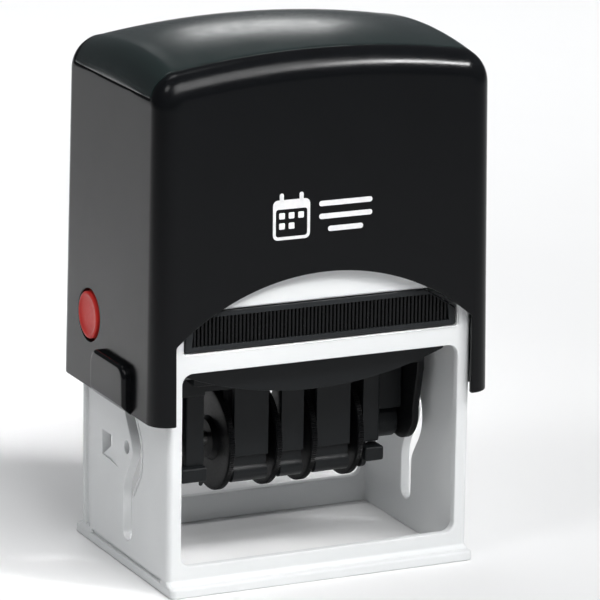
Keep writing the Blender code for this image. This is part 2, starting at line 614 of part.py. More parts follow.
def hub_body():
    """The housing round the date bands: slotted panels over rounded lower lips, with end blocks."""
    low, high = HOUSING_LOW, HOUSING_HIGH
    pin_room = PIVOT_RADIUS + 2 * GAP
    body = block((HOUSING_LEFT, -HOUSING_Y, low), (HOUSING_RIGHT, HOUSING_Y, high), 0.5, 2)
    ears = [
        block((start, -EAR_Y, EAR_LOW), (end, EAR_Y, high))
        for start, end in ((-SIDE_INNER_X + GAP, HOUSING_LEFT + 1), (HOUSING_RIGHT - 1, SIDE_INNER_X - GAP))
    ]
    left, right = HOUSING_LEFT + LIP_INSET_LEFT, HOUSING_RIGHT - LIP_INSET_RIGHT
    lips = [rod(0, LIP_RADIUS, left, right, (side * LIP_Y, LIP_Z), 16) for side in (-1, 1)]
    webs = [
        block((left, low_y, WEB_LOW), (right, high_y, low + 2))
        for low_y, high_y in ((-WEB_OUTER_Y, -WEB_INNER_Y), (WEB_INNER_Y, WEB_OUTER_Y))
    ]
    feet = [
        block((start, low_y, FOOT_LOW), (end, high_y, FOOT_HIGH), 0.5)
        for start, end in ((HOUSING_LEFT, FOOT_LEFT_X), (FOOT_RIGHT_X, HOUSING_RIGHT + 0.6))
        for low_y, high_y in ((-FOOT_OUTER_Y, -FOOT_INNER_Y), (FOOT_INNER_Y, FOOT_OUTER_Y))
    ]
    collar = rod(0, SHAFT_COLLAR, HOUSING_RIGHT - 1, SIDE_INNER_X - GAP, (0.0, SHAFT_Z), 24)
    join(body, *ears, *lips, *webs, *feet, collar)
    cut(
        body,
        hub_room(low, high, HOUSING_WALL),
        *band_windows("housing", high - 5, high + 1),
        *[
            block((start, -15, low - 10), (x + WHEEL_SLOT / 2, 15, WHEEL_SLOT_TOP))
            for x, start in zip(WHEEL_X, (FIRST_SLOT_X, *[x - WHEEL_SLOT / 2 for x in WHEEL_X[1:]]))
        ],
        rod(0, SHAFT_RADIUS + RUNNING_GAP, -60, 60, (0.0, SHAFT_Z), 24),
        rod(0, pin_room, -60, HOUSING_LEFT + 0.1, (0.0, HUB_AXIS_Z), 24),
        rod(0, pin_room, SIDE_INNER_X - 3, 60, (0.0, HUB_AXIS_Z), 24),
    )
    return finish(body, "hub_body", "dark_plastic")


def hub_room(low, high, wall):
    """The space inside the housing, narrower at the lips."""
    left, right, side = HOUSING_LEFT + wall, HOUSING_RIGHT - wall, HOUSING_Y - wall
    room = block((left, -side, low + 1.5), (right, side, high - wall))
    return join(room, block((left, -ROOM_LIP_Y, low - 10), (right, ROOM_LIP_Y, high - wall)))


def hub_sides():
    """The end plates that carry the hub's pivot and the wheel shaft, each with a moulded cam stub."""
    for side, name in ((-1, "hub_side_left"), (1, "hub_side_right")):
        outline = [(SIDE_Y, SIDE_TOP), (-SIDE_Y, SIDE_TOP), (-SIDE_Y, SIDE_SHOULDER)]
        outline += arc((LUG_Y, LUG_Z), LUG_RADIUS, 170, 370, 14)
        outline += [(SIDE_Y, SIDE_SHOULDER)]
        low, high = sorted((side * SIDE_INNER_X, side * SIDE_OUTER_X))
        plate = extruded([outline], 0, low, high)
        inner, outer = sorted((side * (SIDE_INNER_X + 0.5), side * CAM_REACH_X))
        join(plate, rod(0, CAM_RADIUS, inner, outer, (0.0, HUB_AXIS_Z + CAM_OFFSET), 24))
        cut(
            plate,
            rod(0, PIVOT_RADIUS + RUNNING_GAP, -60, 60, (0.0, HUB_AXIS_Z), 24),
            rod(0, SHAFT_RADIUS + RUNNING_GAP, -60, 60, (0.0, SHAFT_Z), 24),
        )
        finish(plate, name, "dark_plastic")


def wheel_shaft():
    shaft = rod(0, SHAFT_RADIUS, -SHAFT_X, SHAFT_X, (0.0, SHAFT_Z), 24, PIN_TIP)
    return finish(shaft, "wheel_shaft", "steel")


def band_anvil():
    """The bar that backs the date bands, its ends and its middle stepped down under the text plate."""
    outline = [(-ANVIL_X, ANVIL_LOW), (ANVIL_X, ANVIL_LOW), (ANVIL_X, ANVIL_LEDGE)]
    outline += [(ANVIL_SPAN, ANVIL_LEDGE), (ANVIL_SPAN, ANVIL_TOP), (ANVIL_STEP, ANVIL_TOP)]
    outline += [(ANVIL_STEP, ANVIL_LEDGE), (-ANVIL_STEP, ANVIL_LEDGE)]
    outline += [(-ANVIL_STEP, ANVIL_TOP), (-ANVIL_SPAN, ANVIL_TOP), (-ANVIL_SPAN, ANVIL_LEDGE)]
    outline += [(-ANVIL_X, ANVIL_LEDGE)]
    bar = extruded([outline], 1, -ANVIL_HALF, ANVIL_HALF)
    return finish(bar, "band_anvil", "dark_plastic")


def belt_outline(extra):
    """The belt round the wheel's pulley and the anvil, grown by extra, in Y and Z."""
    foot, head = BAND_FOOT_RADIUS + extra, BAND_HEAD_RADIUS + extra
    span = BAND_HEAD_Z - SHAFT_Z
    lean = math.degrees(math.asin((foot - head) / span))
    bottom = arc((0, SHAFT_Z), foot, 180 - lean, 360 + lean, 20)
    return bottom + arc((0, BAND_HEAD_Z), head, lean, 180 - lean, 10)


def date_bands():
    for number, x in enumerate(BAND_X, 1):
        loops = [belt_outline(BAND_WALL), belt_outline(0.0)]
        band = extruded(loops, 0, x - BAND_WIDTH / 2, x + BAND_WIDTH / 2)
        finish(band, f"date_band_{number}", "band_rubber")


def date_wheels():
    """Thumb wheels, each with a pulley on the side of its own band."""
    for number, (x, band) in enumerate(zip(WHEEL_X, BAND_X), 1):
        wheel = rod(0, WHEEL_RADIUS, x - WHEEL_WIDTH / 2, x + WHEEL_WIDTH / 2, (0.0, SHAFT_Z), 48, 0.4)
        low, high = sorted((x, band + math.copysign(PULLEY_WIDTH / 2, band - x)))
        join(wheel, rod(0, PULLEY_RADIUS, low, high, (0.0, SHAFT_Z), 24))
        cut(wheel, rod(0, SHAFT_RADIUS + RUNNING_GAP, -60, 60, (0.0, SHAFT_Z), 24))
        finish(wheel, f"date_wheel_{number}", "black_plastic")


# ---------------------------------------------------------------- joints


def hang(name, centre, parent, pieces):
    """An empty on a joint's axis, with the pieces that move with it."""
    pivot = bpy.data.objects.new(name, None)
    pivot.empty_display_size = 0.01
    STAMP.objects.link(pivot)
    place = Matrix.Translation(Vector(centre) * MM)
    pivot.matrix_world = place
    if parent:
        pivot.parent = parent
        bpy.context.view_layer.update()
        pivot.matrix_parent_inverse = parent.matrix_world.inverted()
    bpy.context.view_layer.update()
    for piece in pieces:
        thing = STAMP.objects[piece]
        thing.parent = pivot
        thing.matrix_parent_inverse = place.inverted()
    return pivot


def assemble():
    cover = hang(
        "cover_press_pivot",
        (0, 0, COVER_BOTTOM),
        None,
        ["cover_shell", "drive_yoke", "pivot_pin_left", "pivot_pin_right"],
    )
    hub = hang(
        "hub_flip_pivot",
        (0, 0, HUB_AXIS_Z),
        cover,
        ["plate_carrier", "plate_cushion", "text_plate", "hub_body", "hub_side_left", "hub_side_right"]
        + ["wheel_shaft", "band_anvil"]
        + [f"date_band_{n}" for n in range(1, 5)],
    )
    for n, x in enumerate(WHEEL_X, 1):
        hang(f"date_wheel_{n}_pivot", (x, 0, SHAFT_Z), hub, [f"date_wheel_{n}"])
    hang("lock_button_pivot", (-COVER_X, BUTTON_Y, BUTTON_Z), cover, ["lock_button"])
    hang("index_cap_pivot", (0, 0, COVER_EDGE_TOP), cover, ["index_cap"])
    hang("ink_pad_pivot", (0, TRAY_FRONT_Y, PAD_FLOOR), None, ["ink_pad_tray", "ink_pad_felt"])


clear_scene()
STAMP = named_collection("rotary_date_stamp")
base_frame()
ink_pad()
cover_shell()
index_cap()
lock_button()
drive_yoke()
pivot_pins()
return_springs()
plate_carrier()
text_plate_and_cushion()
hub_body()
hub_sides()
wheel_shaft()
band_anvil()
date_bands()
date_wheels()
assemble()
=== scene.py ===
"""The looks of the self-inking date stamp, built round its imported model, which it never moves.

Every piece is modelled in millimetres in the model's own frame, +Z up with the front facing -Y, and becomes
an object in metres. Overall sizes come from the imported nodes' boxes. The rest repeat the nodes' own sizes.
"""

import math

import bmesh
import bpy
from mathutils import Matrix, Vector


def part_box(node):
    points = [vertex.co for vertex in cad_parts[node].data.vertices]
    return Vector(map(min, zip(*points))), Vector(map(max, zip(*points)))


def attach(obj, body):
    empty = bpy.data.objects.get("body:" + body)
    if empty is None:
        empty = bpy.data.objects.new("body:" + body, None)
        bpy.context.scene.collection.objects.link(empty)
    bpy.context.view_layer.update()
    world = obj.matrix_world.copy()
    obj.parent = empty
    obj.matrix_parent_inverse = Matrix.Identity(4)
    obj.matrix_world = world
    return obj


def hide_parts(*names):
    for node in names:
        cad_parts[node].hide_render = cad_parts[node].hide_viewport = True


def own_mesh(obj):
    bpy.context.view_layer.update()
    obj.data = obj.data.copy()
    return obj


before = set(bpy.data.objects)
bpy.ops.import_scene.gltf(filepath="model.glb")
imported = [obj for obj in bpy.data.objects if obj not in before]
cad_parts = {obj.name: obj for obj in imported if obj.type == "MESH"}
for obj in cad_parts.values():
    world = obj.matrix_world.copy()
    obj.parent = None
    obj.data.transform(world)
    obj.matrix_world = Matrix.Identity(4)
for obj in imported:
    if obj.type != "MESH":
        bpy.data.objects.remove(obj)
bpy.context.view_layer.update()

MM = 0.001
LOW, HIGH = 0, 1
X, Y, Z = 0, 1, 2

# Where cutting tools end: well past the stamp sideways, below it and above it
FAR, UNDER, OVER = 60, -50, 200


def reach(node, end, axis):
    """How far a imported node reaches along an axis, in millimetres."""
    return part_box(node)[end][axis] / MM


# Base frame
FRAME_X, FRAME_Y, FRAME_CORNER = 37.2, 24.9, 1.4
FRAME_TOP = reach("base_frame", HIGH, Z)
FLANGE_X, FLANGE_Y = reach("base_frame", HIGH, X), reach("base_frame", HIGH, Y)
FLANGE_TOP, FLANGE_CORNER = 3.1, 1.6
WALL_INNER_X, WALL_INNER_Y = 34.9, 22.9
WINDOW_X, WINDOW_LOW, WINDOW_HIGH, WINDOW_CORNER = 33.9, 6.3, 50.6, 2.5
PAD_FLOOR, PAD_ROOF, DECK_TOP, BAY_X = 55.0, 64.6, 66.4, 33.6
GROOVE_LOW_Y, GROOVE_HIGH_Y, GROOVE_DEPTH = 19.7, 22.7, 0.9
FOOT_BAND, FOOT_RECESS, FOOT_RECESS_HIGH, FOOT_RECESS_LOW_Y, FOOT_RECESS_HIGH_Y = 2.0, 0.5, 3.0, -21.3, 18.5
SLOT_Y = {-1: -2.0, 1: 1.9}
SLOT_WIDTH, SLOT_FOOT_Z, SLOT_TOP_Z = 5.0, 8.9, 46.5
SLOT_BULGE, SLOT_BULGE_Z, SLOT_BULGE_HALF = 5.2, 28.0, 12.0
RIM_NEAR, RIM_FAR, RIM_ROOT, RIM_PROUD, RIM_LOW_Z = 0.9, 1.3, 0.3, 0.14, SLOT_FOOT_Z + 9
LOCK_REAR_Y, LOCK_FRONT_Y, LOCK_TOP, LOCK_REAR_LOW, LOCK_FRONT_LOW = 12.4, 7.6, 28.5, 22.8, 26.0
SIGHT_Y, SIGHT_Z, SIGHT_RADIUS = -1.4, 28.1, 1.5
POST_RADIUS, POST_TOP = 2.3, 80.0
LEG_FRONT_Y, LEG_BACK_Y, LEG_ROOM, LEG_INNER_X = 2.6, 12.0, 0.5, 32.9

# Ink pad drawer
TRAY_FRONT, TRAY_STEP, TRAY_ARCH_GAP, PAD_RIM = 4.2, 0.8, 0.8, 1.3

# Cover
COVER_X, COVER_Y = 41.7, 27.4
COVER_BOTTOM, CROWN_RISE = reach("cover_shell", LOW, Z), 3.64
COVER_EDGE_TOP = 119.6
DRAFT, CROWN_RADIUS, SIDE_ROLL, FACE_ROLL, LEAST_ROLL = 0.0125, 230.0, 7.0, 4.8, 1.5
SIDE_ROLL_TURN = 81
CROWN_FOOT, COVER_WALL, FACE_WALL, ROOF_CORNER = 106.0, 1.8, 1.35, 2.5
CAP_Y, CAP_WALL, CAP_BOTTOM = 21.1, 1.6, reach("index_cap", LOW, Z)
CAP_GAP_Y, CAP_GAP_Z = 0.15, 0.22
SEAT_RADIUS, SEAT_LOW, SEAT_HIGH, SEAT_COLLAR, SEAT_COLLAR_LOW = 2.3, 112.5, 118.8, 4.3, 116.1
CUTOUT_X, CUTOUT_SPRING_Z, CUTOUT_TOP = 36.3, 57.5, 71.3
BUTTON_Y, BUTTON_Z, BUTTON_RADIUS, BUTTON_RING = 10.4, 56.4, 5.4, 0.6
BUMP_LOW_Y, BUMP_HIGH_Y, BUMP_TOP, BUMP_CORNER, BUMP_FOOT, BUMP_ROLL = -13.9, 5.0, 50.5, 3.0, 41.2, 0.95
BUMP_X = reach("cover_shell", HIGH, X)
RIB_LOW, RIB_BURIED = 42.0, 1.5
COVER_IOR, MATT_IOR = 1.25, 1.3

# Springs
SPRING_X, SPRING_Y, SPRING_RADIUS, SPRING_WIRE, SPRING_TURNS = 24.0, -6.0, 3.6, 0.45, 8
SPRING_LOW, SPRING_HIGH, COVER_TRAVEL = 67.2, 115.3, 25.5

# Hub
HUB_AXIS_Z, SHAFT_Z, SHAFT_RADIUS, PIVOT_RADIUS = 38.5, 27.6, 1.5, 1.6
DECK_X, DECK_Y, DECK_LOW, DECK_HIGH = 28.5, 19.0, 45.7, 47.7
SKIRT_X, SKIRT_Y, SKIRT_RIM, SKIRT_HIGH, SKIRT_LOW, SKIRT_ARC = 32.2, 21.0, 0.7, 49.45, 42.9, 87.5
HOUSING_LEFT, HOUSING_RIGHT, HOUSING_Y, HOUSING_WALL = -28.0, 22.0, 10.0, 1.4
PANEL_LOW, PANEL_EDGE, HOUSING_HIGH, WHEEL_SLOT_TOP = 25.2, 0.5, 45.3, 41.6
END_PANEL_LEFT, END_PANEL_RIGHT, END_PANEL_Y = -26.2, -21.6, 9.6
LIP_RADIUS, LIP_Y, LIP_Z, LIP_LEFT, LIP_RIGHT = 2.3, 7.5, 21.25, -22.0, 19.0
GROOVE_WEB_LOW_Y, GROOVE_WEB_HIGH_Y = 5.9, 9.0
FOOT_LOW_Y, FOOT_HIGH_Y, FOOT_LOW_Z, FOOT_HIGH_Z = 6.4, 11.35, 20.95, 24.35
FOOT_SPANS = ((HOUSING_LEFT, END_PANEL_RIGHT + 0.2), (17.9, HOUSING_RIGHT + 0.6))
NECK_Y = 7.4
EAR_Y, EAR_LOW, SHAFT_COLLAR = 6.0, 31.4, 4.4
SIDE_INNER_X, SIDE_OUTER_X, SIDE_TOP, SIDE_SHOULDER, SIDE_Y = 29.8, 31.6, 45.4, 42.0, 13.0
LUG_Y, LUG_Z, LUG_RADIUS = -3.6, 31.0, 7.4
CAM_OFFSET, CAM_RADIUS, CAM_REACH_X = 5.2, 1.5, 34.4
WHEEL_X = (-16.1, -4.4, 4.4, 16.1)
WHEEL_RADIUS, WHEEL_WIDTH, WHEEL_SLOT, FIRST_SLOT_X = 12.0, 2.4, 3.3, -21.8
WHEEL_TEETH, TOOTH_DEPTH = 132, 0.22
PULLEY_RADIUS, PULLEY_HALF = 6.0, 2.0
BAND_X = (-12.6, -7.9, 7.9, 12.6)
BAND_WINDOWS = ((-15.2, -5.6), (5.6, 15.2))
BAND_WINDOW_Y = {"plate": 2.9, "carrier": 4.0, "housing": 4.4}
BAND_FOOT_RADIUS, BAND_HEAD_RADIUS, BAND_HEAD_Z, BAND_WALL, BAND_WIDTH = 6.3, 1.6, 48.9, 0.9, 4.0
GAP, BORE_GAP = 0.3, 0.1


# ---------------------------------------------------------------- materials


class Recipe:
    """A node material: a Principled shader fed by small noise patterns in the object's own space."""

    def __init__(self, name, colour, roughness, metallic=0.0):
        self.material = bpy.data.materials.new(name)
        self.material.use_nodes = True
        self.tree = self.material.node_tree
        self.shader = self.tree.nodes["Principled BSDF"]
        self.shader.inputs["Base Color"].default_value = (*colour, 1.0)
        self.shader.inputs["Roughness"].default_value = roughness
        self.shader.inputs["Metallic"].default_value = metallic
        self.material.diffuse_color = (*colour, 1.0)
        self.place = self.tree.nodes.new("ShaderNodeTexCoord").outputs["Object"]

    def noise(self, size_mm, detail=3.0, stretch=(1.0, 1.0, 1.0)):
        """Noise whose features are about size_mm across."""
        mapping = self.tree.nodes.new("ShaderNodeMapping")
        mapping.inputs["Scale"].default_value = stretch
        self.tree.links.new(self.place, mapping.inputs["Vector"])
        texture = self.tree.nodes.new("ShaderNodeTexNoise")
        texture.inputs["Scale"].default_value = 1.0 / (size_mm * MM)
        texture.inputs["Detail"].default_value = detail
        self.tree.links.new(mapping.outputs["Vector"], texture.inputs["Vector"])
        return texture.outputs["Fac"]

    def spread(self, value, low, high):
        """A 0 to 1 value moved to a range."""
        node = self.tree.nodes.new("ShaderNodeMapRange")
        node.inputs["From Min"].default_value = 0.3
        node.inputs["From Max"].default_value = 0.7
        node.inputs["To Min"].default_value = low
        node.inputs["To Max"].default_value = high
        self.tree.links.new(value, node.inputs["Value"])
        return node.outputs["Result"]

    def mixed(self, value, first, second):
        """A colour between two, by a 0 to 1 value."""
        node = self.tree.nodes.new("ShaderNodeMix")
        node.data_type = "RGBA"
        node.inputs["A"].default_value = (*first, 1.0)
        node.inputs["B"].default_value = (*second, 1.0)
        self.tree.links.new(value, node.inputs["Factor"])
        return node.outputs["Result"]

    def drive(self, socket, value):
        self.tree.links.new(value, self.shader.inputs[socket])

    def bump(self, height, strength, distance_mm):
        node = self.tree.nodes.new("ShaderNodeBump")
        node.inputs["Strength"].default_value = strength
        node.inputs["Distance"].default_value = distance_mm * MM
        self.tree.links.new(height, node.inputs["Height"])
        self.tree.links.new(node.outputs["Normal"], self.shader.inputs["Normal"])

    def mottle(self, size_mm, first, second, detail=3.0):
        """Vary the colour between two, in patches about size_mm across."""
        self.drive("Base Color", self.mixed(self.noise(size_mm, detail), first, second))

    def gloss(self, size_mm, detail, low, high):
        """Vary the roughness over a range, in patches about size_mm across."""
        self.drive("Roughness", self.spread(self.noise(size_mm, detail), low, high))

    def constant(self, **sockets):
        for name, value in sockets.items():
            self.shader.inputs[name.replace("_", " ")].default_value = value


def darker(colour, share):
    return tuple(c * share for c in colour)


def glossy_cover():
    """Polished black plastic, with the faint waviness and uneven gloss of a moulded shell."""
    black = (0.0028, 0.0031, 0.0036)
    recipe = Recipe("gloss_black_plastic", black, 0.2)
    recipe.constant(IOR=COVER_IOR)
    recipe.mottle(9.0, black, (0.004, 0.0044, 0.0051))
    recipe.gloss(3.0, 6.0, 0.18, 0.24)
    recipe.bump(recipe.noise(0.35, 2.0), 0.06, 0.02)
    return recipe.material


def smoked_cap():
    """Opaque plastic in the dark green-black of a smoked strip over the black roof."""
    green = (0.004, 0.009, 0.0085)
    recipe = Recipe("smoked_plastic", green, 0.22)
    recipe.constant(IOR=1.49, Coat_Weight=0.15, Coat_Roughness=0.12)
    recipe.mottle(14.0, green, (0.007, 0.015, 0.014))
    recipe.gloss(4.0, 5.0, 0.2, 0.27)
    return recipe.material


def white_frame():
    """Cool white moulded plastic with a very fine satin grain."""
    white = (0.80, 0.81, 0.81)
    recipe = Recipe("white_plastic", white, 0.42)
    recipe.constant(IOR=1.46)
    recipe.mottle(12.0, white, (0.77, 0.785, 0.79))
    recipe.gloss(0.8, 4.0, 0.36, 0.5)
    recipe.bump(recipe.noise(0.25, 2.0), 0.08, 0.02)
    return recipe.material


def matt_black(name, colour, roughness, ior=MATT_IOR):
    """Moulded black plastic with a fine spark-eroded grain."""
    recipe = Recipe(name, colour, roughness)
    recipe.constant(IOR=ior)
    recipe.mottle(5.0, colour, darker(colour, 1.35))
    recipe.gloss(0.6, 4.0, roughness - 0.06, roughness + 0.08)
    recipe.bump(recipe.noise(0.18, 2.0), 0.12, 0.03)
    return recipe.material


def red_button():
    red = (0.60, 0.028, 0.022)
    recipe = Recipe("red_plastic", red, 0.34)
    recipe.constant(IOR=COVER_IOR)
    recipe.mottle(3.5, red, (0.50, 0.022, 0.018))
    recipe.gloss(0.7, 4.0, 0.3, 0.42)
    recipe.bump(recipe.noise(0.3, 2.0), 0.08, 0.02)
    return recipe.material


def rubber(name, colour, grain):
    """Soft rubber: matt, with a dusty bloom and a pitted skin."""
    recipe = Recipe(name, colour, 0.75)
    recipe.constant(Sheen_Weight=0.15, Sheen_Roughness=0.5)
    recipe.mottle(2.2, colour, darker(colour, 0.72), 5.0)
    recipe.gloss(0.9, 5.0, 0.62, 0.85)
    recipe.bump(recipe.noise(grain, 3.0), 0.25, 0.05)
    return recipe.material


def ink_felt():
    """Blue-black inked felt with tangled fibres."""
    blue = (0.006, 0.007, 0.02)
    recipe = Recipe("ink_felt", blue, 0.9)
    recipe.constant(Sheen_Weight=0.4, Sheen_Roughness=0.45)
    fibres = recipe.noise(0.22, 6.0, (1.0, 0.35, 1.0))
    recipe.drive("Base Color", recipe.mixed(fibres, blue, (0.016, 0.018, 0.04)))
    recipe.drive("Roughness", recipe.spread(fibres, 0.8, 0.98))
    recipe.bump(fibres, 0.7, 0.15)
    return recipe.material


def foam():
    """Open-cell foam rubber."""
    grey = (0.22, 0.22, 0.21)
    recipe = Recipe("cushion_foam", grey, 0.95)
    cells = recipe.noise(0.35, 4.0)
    recipe.drive("Base Color", recipe.mixed(cells, darker(grey, 0.45), grey))
    recipe.bump(cells, 0.8, 0.15)
    return recipe.material


def steel(name, along):
    """Drawn steel, with fine lines along one axis."""
    stretch = [1.0, 1.0, 1.0]
    stretch[along] = 0.04
    recipe = Recipe(name, (0.56, 0.56, 0.55), 0.28, 1.0)
    lines = recipe.noise(0.12, 4.0, tuple(stretch))
    recipe.drive("Base Color", recipe.mixed(lines, (0.42, 0.42, 0.42), (0.62, 0.62, 0.61)))
    recipe.drive("Roughness", recipe.spread(lines, 0.2, 0.38))
    recipe.bump(lines, 0.15, 0.01)
    return recipe.material


def print_ink():
    """White pad-printed ink with a slightly uneven film."""
    white = (0.82, 0.82, 0.82)
    recipe = Recipe("white_print", white, 0.5)
    recipe.mottle(0.8, white, (0.70, 0.70, 0.71), 4.0)
    recipe.gloss(0.5, 4.0, 0.42, 0.6)
    return recipe.material


# ---------------------------------------------------------------- modelling helpers


def linked(name, data):
    """A new object in the scene."""
    thing = bpy.data.objects.new(name, data)
    bpy.context.scene.collection.objects.link(thing)
    return thing


def object_of(bm, name):
    """A new object holding a bmesh that is already in metres."""
    mesh = bpy.data.meshes.new(name)
    bm.to_mesh(mesh)
    bm.free()
    return linked(name, mesh)


def object_from(bm):
    """A new object holding a bmesh whose coordinates are in millimetres."""
    bmesh.ops.scale(bm, vec=(MM, MM, MM), verts=bm.verts)
    return object_of(bm, "piece")


def bmesh_of(thing):
    bm = bmesh.new()
    bm.from_mesh(thing.data)
    return bm


def store(bm, thing):
    bm.to_mesh(thing.data)
    bm.free()
    return thing


def block(low, high, edge=0.0, edge_axis=None, segments=3):
    """A box between two corners, with the edges along edge_axis, or all edges, rounded by edge."""
    bm = bmesh.new()
    bmesh.ops.create_cube(bm, size=1.0)
    size, middle = Vector(high) - Vector(low), (Vector(high) + Vector(low)) / 2
    place = Matrix.Translation(middle) @ Matrix.Diagonal((*size, 1.0))
    bmesh.ops.transform(bm, matrix=place, verts=bm.verts)
    if edge:
        edges = [e for e in bm.edges if edge_axis is None or runs_along(e, edge_axis)]
        bmesh.ops.bevel(bm, geom=edges, offset=edge, segments=segments, profile=0.5, affect="EDGES")
    return object_from(bm)


def runs_along(edge, axis):
    along = edge.verts[1].co - edge.verts[0].co
    return abs(along[axis]) > 0.99 * along.length


def place_across(axis, along, across):
    """A point from its coordinate on an axis and its other two, in X, Y, Z order."""
    point = list(across)
    point.insert(axis, along)
    return Vector(point)


def turned(axis, across, profile, segments=48):
    """A solid turned about a line along X, Y or Z. profile lists (position along the axis, radius)."""
    outline = arc((0, 0), 1.0, 0, 360, segments)[:-1]
    rings = []
    for along, radius in profile:
        ring = [(across[0] + radius * c, across[1] + radius * s) for c, s in outline]
        rings.append([place_across(axis, along, point) for point in ring])
    return lofted(rings)


def rod(axis, radius, start, end, across, segments=40, tip=0.0):
    """A cylinder along X, Y or Z, with a small rounded rim if tip is given."""
    if tip:
        knee = tip * (1 - math.sqrt(0.5))
        nose = [(start, radius - tip), (start + knee, radius - knee), (start + tip, radius)]
        tail = [(end - tip, radius), (end - knee, radius - knee), (end, radius - tip)]
        return turned(axis, across, nose + tail, segments)
    return turned(axis, across, [(start, radius), (end, radius)], segments)


def lofted(rings, closed=False):
    """A skin through rings of equally many points, capped at both ends, or joined end to end if closed."""
    bm = bmesh.new()
    loops = [[bm.verts.new(p) for p in ring] for ring in rings]
    count = len(loops[0])
    pairs = list(zip(loops, loops[1:]))
    if closed:
        pairs.append((loops[-1], loops[0]))
    for a, b in pairs:
        for i in range(count):
            j = (i + 1) % count
            bm.faces.new((a[i], a[j], b[j], b[i]))
    if not closed:
        bm.faces.new(loops[0][::-1])
        bm.faces.new(loops[-1])
    bmesh.ops.recalc_face_normals(bm, faces=bm.faces)
    return object_from(bm)


def arc(centre, radius, start, end, steps):
    """Points on an arc, angles in degrees from the outline's first axis."""
    angles = [math.radians(start + (end - start) * i / steps) for i in range(steps + 1)]
    return [(centre[0] + radius * math.cos(a), centre[1] + radius * math.sin(a)) for a in angles]


def rounded_rectangle(low_u, low_v, high_u, high_v, radius, steps=8):
    """An outline with four equal round corners."""
    corners = [
        ((high_u - radius, high_v - radius), 0),
        ((low_u + radius, high_v - radius), 90),
        ((low_u + radius, low_v + radius), 180),
        ((high_u - radius, low_v + radius), 270),
    ]
    return [p for centre, start in corners for p in arc(centre, radius, start, start + 90, steps)]


def extruded(loops, across, start, end):
    """Closed outlines, given in the two other axes, filled and extruded along the axis across."""
    curve = bpy.data.curves.new("outline", "CURVE")
    curve.dimensions = "2D"
    curve.fill_mode = "BOTH"
    curve.extrude = (end - start) / 2
    for loop in loops:
        spline = curve.splines.new("POLY")
        spline.points.add(len(loop) - 1)
        for point, (u, v) in zip(spline.points, loop):
            point.co = (u, v, 0.0, 1.0)
        spline.use_cyclic_u = True
    bm = mesh_of_curve(linked("outline", curve))
    turn = {
        X: Matrix(((0, 0, 1), (1, 0, 0), (0, 1, 0))),
        Y: Matrix(((1, 0, 0), (0, 0, -1), (0, 1, 0))),
        Z: Matrix.Identity(3),
    }[across]
    shift = Vector((0, 0, 0))
    shift[across] = (start + end) / 2
    bmesh.ops.transform(bm, matrix=Matrix.Translation(shift) @ turn.to_4x4(), verts=bm.verts)
    bmesh.ops.recalc_face_normals(bm, faces=bm.faces)
    return object_from(bm)


def mesh_of_curve(outline):
    """The welded mesh of a curve object, which is then removed."""
    bpy.context.view_layer.update()
    depsgraph = bpy.context.evaluated_depsgraph_get()
    mesh = bpy.data.meshes.new_from_object(outline.evaluated_get(depsgraph))
    bm = bmesh.new()
    bm.from_mesh(mesh)
    bmesh.ops.remove_doubles(bm, verts=bm.verts, dist=1e-5)
    bpy.data.objects.remove(outline)
    bpy.data.meshes.remove(mesh)
    return bm


def combine(target, operation, *tools):
    """Boolean the tools into the target one after another, and remove them."""
    for tool in tools:
        step = target.modifiers.new(operation.lower(), "BOOLEAN")
        step.operation = operation
        step.object = tool
    bpy.context.view_layer.update()
    depsgraph = bpy.context.evaluated_depsgraph_get()
    mesh = bpy.data.meshes.new_from_object(target.evaluated_get(depsgraph))
    target.modifiers.clear()
    target.data = mesh
    for tool in tools:
        bpy.data.objects.remove(tool)
    return target


def join(target, *tools):
    return combine(target, "UNION", *tools)


def cut(target, *tools):
    return combine(target, "DIFFERENCE", *tools)


def keep_inside(target, *tools):
    return combine(target, "INTERSECT", *tools)


def soften(thing, width, limit=30.0, segments=2, chosen=None):
    """Merge the flat faces of a cut solid, then round the edges sharper than limit by width."""
    bm = bmesh_of(thing)
    bmesh.ops.remove_doubles(bm, verts=bm.verts, dist=2e-6)
    bmesh.ops.dissolve_limit(bm, angle_limit=math.radians(0.12), verts=bm.verts, edges=bm.edges)
    sharp = [e for e in bm.edges if e.is_manifold and e.calc_face_angle(0.0) > math.radians(limit)]
    edges = [e for e in sharp if chosen is None or chosen(e)]
    bmesh.ops.bevel(
        bm,
        geom=edges,
        offset=width * MM,
        segments=segments,
        profile=0.5,
        affect="EDGES",
        clamp_overlap=False,
        miter_outer="ARC",
    )
    bmesh.ops.recalc_face_normals(bm, faces=bm.faces)
    return store(bm, thing)


def shade(thing):
    """Smooth shading that keeps flat faces flat and edges sharper than 35 degrees sharp."""
    thing.data.shade_smooth()
    thing.data.set_sharp_from_angle(angle=math.radians(35.0))
    weighted = thing.modifiers.new("flat_faces", "WEIGHTED_NORMAL")
    weighted.mode = "FACE_AREA_WITH_ANGLE"
    weighted.weight = 100
    weighted.keep_sharp = True
    return thing


def dress(thing, name, body, slot, material, *nodes):
    """Finish a piece: its name, its material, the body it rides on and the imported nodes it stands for."""
    thing.name = name
    thing.data.name = name
    thing.data.materials.clear()
    thing.data.materials.append(material)
    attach(thing, body)
    if nodes:
        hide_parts(*nodes)
    return thing


def mirrored(low, high):
    """A span on the positive side of an axis, after its mirror on the negative side."""
    return ((-high, -low), (low, high))


def twin_blocks(low, high):
    """A block between two corners on the right, after its mirror on the left."""
    return [block((left, *low[1:]), (right, *high[1:])) for left, right in mirrored(low[0], high[0])]


# ---------------------------------------------------------------- base frame


def slot_centre(side, z):
    """The Y of a cam slot's centre line at a height."""
    share = min(abs(z - SLOT_BULGE_Z) / SLOT_BULGE_HALF, 1.0)
    return SLOT_Y[side] - SLOT_BULGE * 0.5 * (1.0 + math.cos(math.pi * share))


